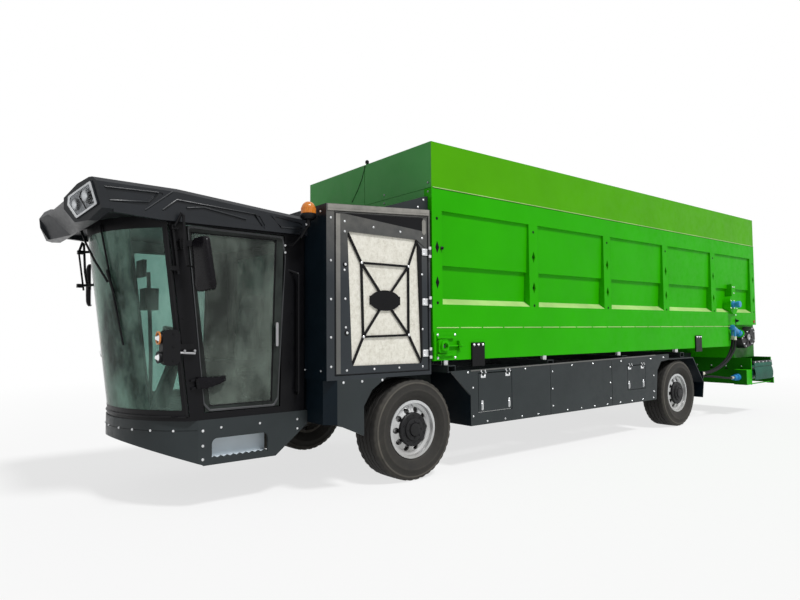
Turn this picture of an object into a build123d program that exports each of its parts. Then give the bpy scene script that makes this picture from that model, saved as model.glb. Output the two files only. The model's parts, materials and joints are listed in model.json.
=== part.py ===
# Self-propelled feed mixer wagon, in millimetres.
# +X is the wagon's left side, the cab faces -Y and +Z is up. The wheels stand on z = 0
# and the origin lies under the middle of the wagon's box.
import os
from math import cos, hypot, radians, sin, tan
from build123d import *

os.makedirs("parts", exist_ok=True)

# Overall
WHEELBASE = 5615
CAB_REACH = 3235            # roof's nose ahead of the front axle
TAIL_REACH = 8700           # conveyor's rear board behind the front axle
FRONT_AXLE_Y = (CAB_REACH - TAIL_REACH) / 2
BODY_HALF = 1305            # outer face of hopper, engine doors and skirts
FIT = 0.3                   # gap between a round piece and its seat
SHEET = 25                  # folded sheet panels with their returns

# Tyres and wheels, 385/65 R22.5
TYRE_RADIUS = 536
TYRE_WIDTH = 385
BEAD_RADIUS = 289
FLANGE_RADIUS = 306
RIM_WIDTH = 300
RIM_WALL = 12
WHEEL_X = 1102              # centre plane of the wheels
HAND_HOLES = 10
HAND_HOLE_RADIUS = 33
HAND_HOLE_CIRCLE = 190
HUB_RADIUS = 120
DRUM_RADIUS = 200
SPINDLE_RADIUS = 40

# Steering
KINGPIN_X = 860
KINGPIN_RADIUS = 25
KINGPIN_EYE_RADIUS = 52
EYE_HEIGHT = 150
KNUCKLE_LUG = 46
STEER_ARM = 230
TIE_ROD_RADIUS = 22
TIE_PIN_RADIUS = 12
TIE_PIN_FIT = 0.6

# Chassis
RAIL_INNER_X = 380
RAIL_WIDTH = 90
RAIL_TOP = 1110
RAIL_HEIGHT = 240
RAIL_WALL_T = 12
CAB_RAIL_TOP = 800
CAB_RAIL_HEIGHT = 190
RAIL_FRONT = -2450
RAIL_BACK = 7700
CROSS_WIDTH = 90
OUTRIGGER_HEIGHT = 80
OUTRIGGER_WIDTH = 120
LOAD_CELL_STATIONS = (543, 2303, 4043, 5747)
LOAD_CELL_X = BODY_HALF - 135
LOAD_CELL_RADIUS = 38
SPRING_X = 425
SPRING_WIDTH = 80
SPRING_HALF = 700
SPRING_PACK = 60
SPRING_PAD = 30
REAR_SEAT = 105            # rear spring seats above the axle's centre
TANK_X = 820
TANK_STATION = 3170
TANK_LENGTH = 1100
TANK_LOW = 600
LASHING_BORE = 20           # radius of the lashing eyes' bores
LASHING_EYE_T = 30
LASHING_STATION = 7520
LASHING_DROP = 50           # from the rail's underside to the bore

# Hopper
HOPPER_FRONT = 245
HOPPER_BACK = 8620
HOPPER_BOTTOM = 1250
SEAM_Z = 3165
RIM_Z = 3675
WALL_INNER_X = BODY_HALF - 125
EXTENSION_WALL = 45
END_WALL = 60
FRONT_WALL_LOW = 1570
SIDE_PLATE_BACK = 7420      # where the deep lower side plate ends
REAR_RAIL_Z = 1640
LEDGE_TOP_Z = 1935
LEDGE_LOW_Z = 1870
FOLD_Z = 2305
BAY_TOP_Z = 2912
POST_WIDTH = 172
POST_PITCH = 1640
FIRST_POST = 1970           # centre of the first post behind the front corner post
POSTS = 4
CORNER_POST = 150
HOLE_WIDTH = 60
HOLE_HEIGHT = 152
POST_HOLE_ZS = (2500, 2110)
FLOOR_PLATE = 20

# Floor chain, beater and their drives
CHAIN_SHAFT_Z = 1410
IDLER_STATION = 358
DRIVE_STATION = 8020
CHAIN_RADIUS = 80
CHAIN_THICK = 24
CHAIN_WIDTH = 44
CHAIN_XS = (-1000, -340, 340, 1000)
SLAT_PITCH = 400
SLAT_HEIGHT = 40
SLAT_WIDTH = 46
SHAFT_RADIUS = 32
SPROCKET_T = 24
BEATER_STATION = 7500
BEATER_Z = 2010
BEATER_RADIUS = 400
BEATER_TUBE = 130
BEATER_RINGS = 9
BEATER_PITCH = 260
TINES = 4
TINE_T = 14
TINE_ROOT = 90
TINE_TIP = 40
TINE_TURN = 35

BRACKET_RADIUS = 170
BRACKET_SHIFT = 90
BRACKET_TOP = 370
BRACKET_NECK = 150
BRACKET_PROUD = 40

# Cross conveyor
BOARD_FRONT = 7800
BOARD_BACK = TAIL_REACH
BOARD_TOP = 1030
BOARD_BOTTOM = 550
BOARD_T = 25
CONVEYOR_HALF = 1520
ROLLER_Z = 750
BELT_RADIUS = 112
BELT_T = 12
EAR_REACH = 60              # half width of the ears on the conveyor's rear board
EAR_Z = 590
TIE_Z = 566
TIE_RADIUS = 9
TIE_XS = (-1000, -350, 350, 1000)
ROLLER_PIN = 25             # radius of the rollers' pins
DRIVE_BOX_Z = 690           # middle of the boxes round the rollers' drives
DRIVE_BOX_HEIGHT = 270
CHUTE_FRONT = 7740
CHUTE_HALF = BODY_HALF - 55

TENSION_STATION = 425
TENSION_PLATE = (350, 310)
TENSION_PLATE_T = 14
TENSION_BACK = TENSION_STATION + TENSION_PLATE[0] / 2

GEARBOX_DEPTH = 145
GEARBOX_FACE = (             # from the drive shaft's end: backwards, upwards
    (-226, 26), (203, 201), (299, 132), (301, -83), (194, -150), (-128, -201), (-202, -150),
    (-288, -31),
)
GEAR_MOTOR_X = BODY_HALF + 35
GEAR_MOTOR_STATION = 7794
GEAR_MOTOR_Z = 1475
GEAR_MOTOR_SLANT = 22
MOTOR_RADIUS = 60
MOTOR_BOX = 200
FITTING_RADIUS = 20
FITTING_HEIGHT = 130
FITTINGS = (  # sideways from the gear motor, station, lower end
    (-30, 7560, 1440), (30, 7530, 1430),
)

# Engine module
ENGINE_FRONT = -1110
ENGINE_BACK = 215
ENGINE_FLOOR_T = 40
ENGINE_POST = 90
ENGINE_TOP_FRONT = 2816
ENGINE_TOP_BACK = 2900
ENGINE_CAP = 72
ENGINE_REAR_WALL = 25
DOOR_T = 40
DOOR_GAP = 6
DOOR_PIN_RADIUS = 9
MESH_DEPTH = 12
MESH_T = 10
BAR_WIDTH = 22
BADGE_HALF = (192, 105)
BADGE_LUG = 90
DOOR_BARREL_RADIUS = 18
ENGINE_HINGE_ZS = (1340, 1890, 2430)

# Side skirts
SKIRT_FRONT = 812
SKIRT_BACK = 4865
SKIRT_BOTTOM = 490
SKIRT_TOP_FRONT = 1125
SKIRT_TOP_BACK = 1178
FLAP_T = 20
GUARD_INNER_X = BODY_HALF - 425
GUARD_T = 15
GUARD_LINE = (               # distance behind the front axle, z
    (6378, 410), (6426, 664), (6065, 1102), (5270, 1102), (5025, 1083), (4890, 938),
)
FLAP_GAP = 7
FRONT_SKIRT_LOW = 549
FRONT_SKIRT_TOP = 1134         # where its edge meets the wheel's arch
FRONT_SKIRT_STATION = -1087
FRONT_SKIRT_BACK = -357
FRONT_SKIRT_BEND = 105         # width of its slanted corner

# Cab
CAB_HALF = 900
CAB_FRAME_T = 60
CAB_FLOOR_Z = 800
CAB_FLOOR_T = 40
CAB_BACK = -1120
ROOF_HALF = 950
GLASS_T = 10
CAB_NOSE = -2695            # middle of the windscreen's foot
REAR_WINDOW = (1300, 900)
DOOR_FRAME_T = 40
GRAB_RADIUS = 13
BEACON_X = 1010
SKIRT_CAB_HALF = 905
CAB_SKIRT_LOW = 395
CAB_SKIRT_NOSE = -2710
CAB_SKIRT_SIDE = -2190       # where its bow meets the straight sides
CAB_SKIRT_BACK = -1088
STEP_STATION = -1791
STEP_LOW = 452
STEP_HEIGHT = 176
STEP_HALF = 275
STEP_TEETH = 9
STEP_TOOTH = 16
STEP_DEPTH = 105
MIRROR_DEPTH = 45
WORK_LAMP_Z = 1455
LAMP_SEAT = (930, -3035, 2620)      # lower outer corner of a roof lamp: x, station, z
LAMP_FACING = (0.475, -0.863, -0.17)


def aft(distance):
    """Y of a place this far behind the front axle."""
    return FRONT_AXLE_Y + distance


def side_points(*pairs):
    """(distance behind the front axle, z) pairs as points of a side view."""
    return [(aft(distance), z) for distance, z in pairs]


def at(x, distance, z):
    """A point at x, this far behind the front axle, at height z."""
    return (x, aft(distance), z)


def write(part, name):
    """Label one finished piece and write it."""
    part.label = name
    export_step(part, f"parts/{name}.step")


def write_pair(left, name):
    """Write a left piece and its mirror image on the right side."""
    with BuildPart() as right:
        mirror(left.part, about=Plane.YZ)
    write(left.part, f"{name}_left")
    write(right.part, f"{name}_right")


def x_plane(x, distance, z):
    """Plane square to X, its own x axis along +Y, placed at a point."""
    return Plane(origin=at(x, distance, z), x_dir=(0, 1, 0), z_dir=(1, 0, 0))


def y_plane(x, distance, z):
    """Plane square to Y that extrudes towards the front (-Y)."""
    return Plane(origin=at(x, distance, z), x_dir=(1, 0, 0), z_dir=(0, -1, 0))


def z_plane(x, distance, z):
    """Level plane placed at a point."""
    return Plane(origin=at(x, distance, z))


def folded(points, thickness):
    """Outline of a folded sheet: a line of points and its copy to the left of its run."""
    normals = []
    for (x0, y0), (x1, y1) in zip(points, points[1:]):
        length = hypot(x1 - x0, y1 - y0)
        normals.append(((y0 - y1) / length, (x1 - x0) / length))
    inner = []
    for index, (x, y) in enumerate(points):
        before = normals[max(index - 1, 0)]
        after = normals[min(index, len(normals) - 1)]
        share = thickness / (1 + before[0] * after[0] + before[1] * after[1])
        inner.append((x + share * (before[0] + after[0]), y + share * (before[1] + after[1])))
    return points + inner[::-1]


def strip(start, end, width):
    """Corners of a straight bar of this width between two points of a sketch."""
    run, rise = end[0] - start[0], end[1] - start[1]
    half = width / (2 * hypot(run, rise))
    return [
        (start[0] - rise * half, start[1] + run * half), (start[0] + rise * half, start[1] - run * half),
        (end[0] + rise * half, end[1] - run * half), (end[0] - rise * half, end[1] + run * half),
    ]


# Chassis frame: two drop-nosed channels with cross members inside them
RAIL_OUTER_X = RAIL_INNER_X + RAIL_WIDTH
RAIL_LOW = RAIL_TOP - RAIL_HEIGHT
CAB_RAIL_LOW = CAB_RAIL_TOP - CAB_RAIL_HEIGHT
RAIL_OUTLINE = side_points(
    (RAIL_FRONT, CAB_RAIL_LOW), (-1200, CAB_RAIL_LOW), (-760, RAIL_LOW), (RAIL_BACK, RAIL_LOW),
    (RAIL_BACK, RAIL_TOP), (-950, RAIL_TOP), (-1108, CAB_RAIL_TOP), (RAIL_FRONT, CAB_RAIL_TOP),
)
OUTRIGGER_Z = RAIL_TOP + OUTRIGGER_HEIGHT
OUTRIGGER_HALF = BODY_HALF - SHEET

with BuildPart() as chassis:
    with BuildSketch(Plane.YZ.offset(RAIL_INNER_X)):
        Polygon(*RAIL_OUTLINE, align=None)
    extrude(amount=RAIL_WIDTH)
    with BuildSketch(Plane.YZ.offset(RAIL_INNER_X)):
        Polygon(*RAIL_OUTLINE, align=None)
        offset(amount=-RAIL_WALL_T, kind=Kind.INTERSECTION, mode=Mode.REPLACE)
    extrude(amount=RAIL_WIDTH - RAIL_WALL_T, mode=Mode.SUBTRACT)
    with BuildSketch(x_plane(RAIL_INNER_X + LASHING_EYE_T, LASHING_STATION, RAIL_LOW - LASHING_DROP + 10)):
        SlotCenterToCenter(60, 84, rotation=90)
    extrude(amount=LASHING_EYE_T)
    with BuildSketch(x_plane(RAIL_INNER_X + LASHING_EYE_T, LASHING_STATION, RAIL_LOW - LASHING_DROP)):
        Circle(LASHING_BORE)
    extrude(amount=LASHING_EYE_T, mode=Mode.SUBTRACT)
    mirror(about=Plane.YZ)
    for station, low, high in (
        (-2330, CAB_RAIL_LOW + 20, CAB_RAIL_TOP - 20), (-1400, CAB_RAIL_LOW + 20, CAB_RAIL_TOP - 20),
        (-500, RAIL_LOW + 20, RAIL_TOP - 20), (1250, RAIL_LOW + 20, RAIL_TOP - 20),
        (3100, RAIL_LOW + 20, RAIL_TOP - 20), (4880, RAIL_LOW + 20, RAIL_TOP - 20),
        (6400, RAIL_LOW + 20, RAIL_TOP - 20), (7600, RAIL_LOW + 20, RAIL_TOP - 20),
    ):
        with BuildSketch(x_plane(-RAIL_OUTER_X + RAIL_WALL_T, station, (low + high) / 2)):
            Rectangle(CROSS_WIDTH, high - low)
            Rectangle(CROSS_WIDTH - 20, high - low - 20, mode=Mode.SUBTRACT)
        extrude(amount=2 * (RAIL_OUTER_X - RAIL_WALL_T))
write(chassis.part, "chassis_frame")

# Outriggers: square tubes across the rails that carry the load cells
with BuildPart() as outriggers:
    for station in LOAD_CELL_STATIONS:
        with BuildSketch(x_plane(-OUTRIGGER_HALF, station, RAIL_TOP + OUTRIGGER_HEIGHT / 2)):
            Rectangle(OUTRIGGER_WIDTH, OUTRIGGER_HEIGHT)
            Rectangle(OUTRIGGER_WIDTH - 20, OUTRIGGER_HEIGHT - 20, mode=Mode.SUBTRACT)
        extrude(amount=2 * OUTRIGGER_HALF)
write(outriggers.part, "outriggers")

# Fuel and oil tanks hung on the outside of the rails
with BuildPart() as side_tanks:
    for tank_x in (-TANK_X, TANK_X):
        with BuildSketch(z_plane(tank_x, TANK_STATION, TANK_LOW)):
            RectangleRounded(2 * (TANK_X - RAIL_OUTER_X), TANK_LENGTH, 60)
        extrude(amount=RAIL_TOP - TANK_LOW)
write(side_tanks.part, "side_tanks")

# Load cells between the outriggers and the hopper's side boxes
with BuildPart() as load_cells:
    for station in LOAD_CELL_STATIONS:
        with BuildSketch(z_plane(LOAD_CELL_X, station, OUTRIGGER_Z)):
            Circle(LOAD_CELL_RADIUS)
        extrude(amount=HOPPER_BOTTOM - OUTRIGGER_Z)
    mirror(about=Plane.YZ)
write(load_cells.part, "load_cells")

# Front axle: a dropped beam with an upright eye at each end for the kingpin
EYE_Z = TYRE_RADIUS
BEAM_TOP = 530
BEAM_LOW = 410
with BuildPart() as front_axle:
    with BuildSketch(y_plane(0, 50, 0)):
        Polygon(
            (0, BEAM_LOW), (600, BEAM_LOW), (780, EYE_Z - EYE_HEIGHT / 2),
            (KINGPIN_X, EYE_Z - EYE_HEIGHT / 2),
            (KINGPIN_X, EYE_Z + EYE_HEIGHT / 2), (650, BEAM_TOP), (0, BEAM_TOP), align=None,
        )
    extrude(amount=100)
    with BuildSketch(z_plane(SPRING_X, 0, BEAM_TOP)):
        Rectangle(SPRING_WIDTH + 20, 160)
    extrude(amount=SPRING_PAD)
    with BuildSketch(z_plane(KINGPIN_X, 0, EYE_Z - EYE_HEIGHT / 2)):
        Circle(KINGPIN_EYE_RADIUS)
    extrude(amount=EYE_HEIGHT)
    with BuildSketch(z_plane(KINGPIN_X, 0, EYE_Z - EYE_HEIGHT / 2)):
        Circle(KINGPIN_RADIUS + FIT)
    extrude(amount=EYE_HEIGHT, mode=Mode.SUBTRACT)
    mirror(about=Plane.YZ)
write(front_axle.part, "front_axle")

# Rear axle: a drive housing bulging at the middle, with its spindles and hydraulic motor
with BuildPart() as rear_axle:
    with BuildSketch(y_plane(0, WHEELBASE, TYRE_RADIUS)):
        with BuildLine():
            Polyline(
                (0, 0), (WHEEL_X + 58, 0), (WHEEL_X + 58, SPINDLE_RADIUS),
                (WHEEL_X - RIM_WIDTH / 2 - 10, SPINDLE_RADIUS), (WHEEL_X - RIM_WIDTH / 2 - 10, 75),
                (300, 80), (190, 170), (0, 180),
            )
            Line((0, 180), (0, 0))
        make_face()
    revolve(axis=Axis(at(0, WHEELBASE, TYRE_RADIUS), (1, 0, 0)))
    with BuildSketch(z_plane(SPRING_X, WHEELBASE, TYRE_RADIUS)):
        Rectangle(SPRING_WIDTH + 20, 160)
    extrude(amount=REAR_SEAT)
    mirror(about=Plane.YZ)
    with BuildSketch(y_plane(0, WHEELBASE - 120, TYRE_RADIUS)):
        Circle(110)
    extrude(amount=150)
    with BuildSketch(y_plane(0, WHEELBASE - 270, TYRE_RADIUS)):
        Circle(80)
    extrude(amount=140)
write(rear_axle.part, "rear_axle")


# Leaf springs: an arched pack on each axle pad, hung from the rails by two hangers
SPRING_EYE = 90
with BuildPart() as leaf_springs:
    for axle, pad_z in ((0, BEAM_TOP + SPRING_PAD), (WHEELBASE, TYRE_RADIUS + REAR_SEAT)):
        eye_z = RAIL_LOW - SPRING_EYE
        with BuildSketch(Plane.YZ.offset(SPRING_X - SPRING_WIDTH / 2)):
            with BuildLine():
                lower = ThreePointArc(
                    (aft(axle - SPRING_HALF), eye_z), (aft(axle), pad_z),
                    (aft(axle + SPRING_HALF), eye_z),
                )
                upper = ThreePointArc(
                    (aft(axle - SPRING_HALF), eye_z + SPRING_PACK / 2),
                    (aft(axle), pad_z + SPRING_PACK),
                    (aft(axle + SPRING_HALF), eye_z + SPRING_PACK / 2),
                )
                Line(lower @ 0, upper @ 0)
                Line(lower @ 1, upper @ 1)
            make_face()
        extrude(amount=SPRING_WIDTH)
        for end in (-1, 1):
            with BuildSketch(Plane.YZ.offset(SPRING_X - SPRING_WIDTH / 2 - 5)):
                Polygon(
                    *side_points(
                        (axle + end * (SPRING_HALF - 60), RAIL_LOW),
                        (axle + end * (SPRING_HALF + 60), RAIL_LOW),
                        (axle + end * (SPRING_HALF + 25), eye_z - 15),
                        (axle + end * (SPRING_HALF - 25), eye_z - 15),
                    ),
                    align=None,
                )
            extrude(amount=SPRING_WIDTH + 10)
    mirror(about=Plane.YZ)
write(leaf_springs.part, "leaf_springs")

# Steering knuckle: two lugs round the kingpin, a web, the spindle and a trailing arm
LUG_LOW_Z = EYE_Z - EYE_HEIGHT / 2 - FIT - KNUCKLE_LUG
LUG_TOP_Z = EYE_Z + EYE_HEIGHT / 2 + FIT
WEB_X = KINGPIN_X + KINGPIN_EYE_RADIUS + 8
with BuildPart() as knuckle:
    for low in (LUG_LOW_Z, LUG_TOP_Z):
        with BuildSketch(z_plane(KINGPIN_X, 0, low)):
            Circle(45)
            with Locations((40, 0)):
                Rectangle(60, 90)
        extrude(amount=KNUCKLE_LUG)
    with BuildSketch(z_plane(KINGPIN_X, 0, LUG_LOW_Z)):
        Circle(KINGPIN_RADIUS)
    extrude(amount=LUG_TOP_Z + KNUCKLE_LUG - LUG_LOW_Z)
    with BuildSketch(x_plane(WEB_X, 0, (LUG_LOW_Z + LUG_TOP_Z + KNUCKLE_LUG) / 2)):
        RectangleRounded(110, LUG_TOP_Z + KNUCKLE_LUG - LUG_LOW_Z, 12)
    extrude(amount=20)
    with BuildSketch(x_plane(WEB_X + 10, 0, EYE_Z)):
        Circle(SPINDLE_RADIUS)
    extrude(amount=WHEEL_X + 58 - WEB_X - 10)
    with BuildSketch(z_plane(KINGPIN_X, 0, LUG_LOW_Z)):
        Polygon((-38, 20), (38, 20), (28, STEER_ARM), (-28, STEER_ARM), align=None)
        with Locations((0, STEER_ARM)):
            Circle(30)
            Circle(TIE_PIN_RADIUS + TIE_PIN_FIT, mode=Mode.SUBTRACT)
    extrude(amount=KNUCKLE_LUG - 10)
write_pair(knuckle, "knuckle")

# Tie rod: a tube with an eye and an upright pin at each end, under the trailing arms
TIE_EYE_TOP = LUG_LOW_Z - 1.5
with BuildPart() as tie_rod:
    with BuildSketch(x_plane(0, STEER_ARM, TIE_EYE_TOP - TIE_ROD_RADIUS)):
        Circle(TIE_ROD_RADIUS)
    extrude(amount=KINGPIN_X)
    with BuildSketch(z_plane(KINGPIN_X, STEER_ARM, TIE_EYE_TOP - 2 * TIE_ROD_RADIUS)):
        Circle(32)
    extrude(amount=2 * TIE_ROD_RADIUS)
    with BuildSketch(z_plane(KINGPIN_X, STEER_ARM, TIE_EYE_TOP)):
        Circle(TIE_PIN_RADIUS)
    extrude(amount=KNUCKLE_LUG)
    mirror(about=Plane.YZ)
write(tie_rod.part, "tie_rod")

# Tyres and wheels
TREAD_HALF = 150
SHOULDER_RADIUS = TYRE_RADIUS - 14
BEAD_HALF = RIM_WIDTH / 2 - 14


def tyre(station, name):
    with BuildPart() as left:
        with BuildSketch(y_plane(WHEEL_X, station, TYRE_RADIUS)):
            with BuildLine():
                Polyline(
                    (-TREAD_HALF - 18, SHOULDER_RADIUS), (-TREAD_HALF, TYRE_RADIUS),
                    (TREAD_HALF, TYRE_RADIUS), (TREAD_HALF + 18, SHOULDER_RADIUS),
                )
                ThreePointArc(
                    (TREAD_HALF + 18, SHOULDER_RADIUS), (TYRE_WIDTH / 2, 415),
                    (BEAD_HALF, BEAD_RADIUS + 22),
                )
                Polyline(
                    (BEAD_HALF, BEAD_RADIUS + 22), (BEAD_HALF, BEAD_RADIUS + FIT),
                    (-BEAD_HALF, BEAD_RADIUS + FIT), (-BEAD_HALF, BEAD_RADIUS + 22),
                )
                ThreePointArc(
                    (-BEAD_HALF, BEAD_RADIUS + 22), (-TYRE_WIDTH / 2, 415),
                    (-TREAD_HALF - 18, SHOULDER_RADIUS),
                )
            make_face()
        revolve(axis=Axis(at(WHEEL_X, station, TYRE_RADIUS), (1, 0, 0)))
    write_pair(left, name)


def wheel(station, name):
    half = RIM_WIDTH / 2
    with BuildPart() as left:
        with BuildSketch(y_plane(WHEEL_X, station, TYRE_RADIUS)):
            with BuildLine():
                Polyline(
                    (-half, FLANGE_RADIUS), (-half + 12, FLANGE_RADIUS), (-half + 13, BEAD_RADIUS),
                    (half - 13, BEAD_RADIUS), (half - 12, FLANGE_RADIUS), (half, FLANGE_RADIUS),
                    (half, BEAD_RADIUS - RIM_WALL), (110, BEAD_RADIUS - RIM_WALL - 6),
                    (96, 240), (128, 165), (128, HUB_RADIUS), (150, HUB_RADIUS - 5),
                    (150, 78), (176, 74), (176, 0), (60, 0), (60, SPINDLE_RADIUS + FIT),
                    (-half + 2, SPINDLE_RADIUS + FIT), (-half + 2, DRUM_RADIUS),
                    (60, DRUM_RADIUS), (75, HUB_RADIUS + 30), (112, 165), (80, 240),
                    (84, BEAD_RADIUS - RIM_WALL - 4), (-half, BEAD_RADIUS - RIM_WALL), close=True,
                )
            make_face()
        revolve(axis=Axis(at(WHEEL_X, station, TYRE_RADIUS), (1, 0, 0)))
        with BuildSketch(x_plane(WHEEL_X + 72, station, TYRE_RADIUS)):
            with PolarLocations(HAND_HOLE_CIRCLE + 14, HAND_HOLES):
                Circle(HAND_HOLE_RADIUS)
        extrude(amount=80, mode=Mode.SUBTRACT)
    write_pair(left, name)


for axle_station, axle_name in ((0, "front"), (WHEELBASE, "rear")):
    tyre(axle_station, f"tyre_{axle_name}")
    wheel(axle_station, f"wheel_{axle_name}")

# Hopper side: a deep pressed wall with recessed bays between its posts
POST_CENTRES = [FIRST_POST + POST_PITCH * index for index in range(POSTS)]
BAY_EDGES = [HOPPER_FRONT + CORNER_POST]
for centre in POST_CENTRES:
    BAY_EDGES += [centre - POST_WIDTH / 2, centre + POST_WIDTH / 2]
BAY_EDGES.append(HOPPER_BACK - CORNER_POST - 50)
BAYS = list(zip(BAY_EDGES[0::2], BAY_EDGES[1::2]))
BAY_PROFILE = (
    (BODY_HALF + 5, BAY_TOP_Z), (BODY_HALF - 25, BAY_TOP_Z), (BODY_HALF - 45, FOLD_Z),
    (BODY_HALF - 75, FOLD_Z), (BODY_HALF - 93, LEDGE_TOP_Z), (BODY_HALF, LEDGE_LOW_Z),
    (BODY_HALF + 5, LEDGE_LOW_Z),
)
with BuildPart() as hopper_side:
    with BuildSketch(Plane.YZ.offset(WALL_INNER_X)):
        Polygon(
            *side_points(
                (HOPPER_FRONT, HOPPER_BOTTOM), (SIDE_PLATE_BACK, HOPPER_BOTTOM),
                (SIDE_PLATE_BACK, REAR_RAIL_Z), (HOPPER_BACK, REAR_RAIL_Z),
                (HOPPER_BACK, SEAM_Z), (HOPPER_FRONT, SEAM_Z),
            ),
            align=None,
        )
    extrude(amount=BODY_HALF - WALL_INNER_X)
    for bay_front, bay_back in BAYS:
        with BuildSketch(y_plane(0, bay_back, 0)):
            Polygon(*BAY_PROFILE, align=None)
        extrude(amount=bay_back - bay_front, mode=Mode.SUBTRACT)
    for centre in POST_CENTRES + [HOPPER_BACK - CORNER_POST / 2]:
        for hole_z in POST_HOLE_ZS:
            with BuildSketch(x_plane(BODY_HALF, centre, hole_z)):
                Polygon(
                    (0, -HOLE_HEIGHT / 2), (HOLE_WIDTH / 2, 0), (0, HOLE_HEIGHT / 2),
                    (-HOLE_WIDTH / 2, 0), align=None,
                )
            extrude(amount=-30, mode=Mode.SUBTRACT)
    with BuildSketch(x_plane(WALL_INNER_X + 20, BEATER_STATION + BRACKET_SHIFT, BEATER_Z)):
        Circle(BRACKET_RADIUS)
        with Locations((0, BRACKET_TOP / 2)):
            Rectangle(BRACKET_NECK, BRACKET_TOP)
    extrude(amount=BODY_HALF + BRACKET_PROUD - WALL_INNER_X - 20)
    with BuildSketch(x_plane(WALL_INNER_X, BEATER_STATION, BEATER_Z)):
        Circle(SHAFT_RADIUS + 1)
    extrude(amount=2 * (BODY_HALF - WALL_INNER_X), mode=Mode.SUBTRACT)
    with BuildSketch(x_plane(WALL_INNER_X, IDLER_STATION, CHAIN_SHAFT_Z)):
        Circle(SHAFT_RADIUS + FIT)
    extrude(amount=BODY_HALF - WALL_INNER_X, mode=Mode.SUBTRACT)
write_pair(hopper_side, "hopper_side")

# Hopper extension: four boards that stand on the side walls
with BuildPart() as extension:
    with BuildSketch(z_plane(0, (HOPPER_FRONT + HOPPER_BACK) / 2, SEAM_Z)):
        Rectangle(2 * BODY_HALF - 6, HOPPER_BACK - HOPPER_FRONT)
        Rectangle(
            2 * (BODY_HALF - EXTENSION_WALL) - 6, HOPPER_BACK - HOPPER_FRONT - 2 * EXTENSION_WALL,
            mode=Mode.SUBTRACT,
        )
    extrude(amount=RIM_Z - SEAM_Z)
write(extension.part, "hopper_extension")

# Hopper front wall, between the sides and above the chain
with BuildPart() as hopper_front:
    with BuildSketch(y_plane(0, HOPPER_FRONT + END_WALL, (FRONT_WALL_LOW + SEAM_Z) / 2)):
        Rectangle(2 * WALL_INNER_X, SEAM_Z - FRONT_WALL_LOW)
    extrude(amount=END_WALL)
write(hopper_front.part, "hopper_front_wall")

# Hopper floor: a plate between the sides that the chain slides on
FLOOR_TOP = CHAIN_SHAFT_Z + CHAIN_RADIUS - FIT
with BuildPart() as hopper_floor:
    with BuildSketch(z_plane(0, (IDLER_STATION + DRIVE_STATION) / 2, FLOOR_TOP - FLOOR_PLATE)):
        Rectangle(2 * WALL_INNER_X, DRIVE_STATION - IDLER_STATION - 260)
    extrude(amount=FLOOR_PLATE)
write(hopper_floor.part, "hopper_floor")

# Floor chain: four endless strands round the two shafts, with slats across them
STRAND_OUTER = CHAIN_RADIUS + CHAIN_THICK
with BuildPart() as floor_chain:
    for strand_x in CHAIN_XS:
        with BuildSketch(
            x_plane(strand_x - CHAIN_WIDTH / 2, (IDLER_STATION + DRIVE_STATION) / 2, CHAIN_SHAFT_Z)
        ):
            SlotCenterToCenter(DRIVE_STATION - IDLER_STATION, 2 * STRAND_OUTER)
            SlotCenterToCenter(
                DRIVE_STATION - IDLER_STATION, 2 * CHAIN_RADIUS, mode=Mode.SUBTRACT
            )
        extrude(amount=CHAIN_WIDTH)
    slat_count = int((DRIVE_STATION - IDLER_STATION) / SLAT_PITCH)
    for index in range(slat_count):
        slat_station = IDLER_STATION + SLAT_PITCH * (index + 0.5)
        for level in (CHAIN_RADIUS + SLAT_HEIGHT / 2, -CHAIN_RADIUS - SLAT_HEIGHT / 2):
            with BuildSketch(x_plane(-WALL_INNER_X + 40, slat_station, CHAIN_SHAFT_Z + level)):
                Rectangle(SLAT_WIDTH, SLAT_HEIGHT)
            extrude(amount=2 * (WALL_INNER_X - 40))
write(floor_chain.part, "floor_chain")


# Chain shafts with a sprocket disc under each strand
with BuildPart() as chain_shafts:
    for station, half in ((IDLER_STATION, BODY_HALF + 40), (DRIVE_STATION, CHUTE_HALF - SHEET)):
        with BuildSketch(x_plane(-half, station, CHAIN_SHAFT_Z)):
            Circle(SHAFT_RADIUS)
        extrude(amount=2 * half)
        for strand_x in CHAIN_XS:
            with BuildSketch(x_plane(strand_x - SPROCKET_T / 2, station, CHAIN_SHAFT_Z)):
                Circle(CHAIN_RADIUS - FIT)
            extrude(amount=SPROCKET_T)
write(chain_shafts.part, "chain_shafts")

# Tension plates with the idler shaft's bearings and their screws
with BuildPart() as tension_plates:
    with BuildSketch(x_plane(BODY_HALF, TENSION_STATION, CHAIN_SHAFT_Z)):
        Rectangle(*TENSION_PLATE)
    extrude(amount=TENSION_PLATE_T)
    with BuildSketch(x_plane(BODY_HALF + TENSION_PLATE_T, IDLER_STATION, CHAIN_SHAFT_Z)):
        RectangleRounded(150, 150, 40)
    extrude(amount=40)
    with BuildSketch(x_plane(BODY_HALF + TENSION_PLATE_T, IDLER_STATION, CHAIN_SHAFT_Z)):
        Circle(52)
    extrude(amount=52)
    for level in (-95, 95):
        with BuildSketch(
            x_plane(BODY_HALF + TENSION_PLATE_T, TENSION_STATION - 20, CHAIN_SHAFT_Z + level)
        ):
            Rectangle(250, 24)
        extrude(amount=24)
    with BuildSketch(x_plane(BODY_HALF + TENSION_PLATE_T, TENSION_BACK - 6, CHAIN_SHAFT_Z)):
        Rectangle(12, 110)
    extrude(amount=46)
    with BuildSketch(y_plane(BODY_HALF + 34, TENSION_BACK + 43, CHAIN_SHAFT_Z)):
        Circle(12)
    extrude(amount=TENSION_BACK + 43 - IDLER_STATION - 60)
    with BuildSketch(x_plane(BODY_HALF, IDLER_STATION, CHAIN_SHAFT_Z)):
        Circle(SHAFT_RADIUS + FIT)
    extrude(amount=2 * TENSION_PLATE_T + 52, mode=Mode.SUBTRACT)
    mirror(about=Plane.YZ)
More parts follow.
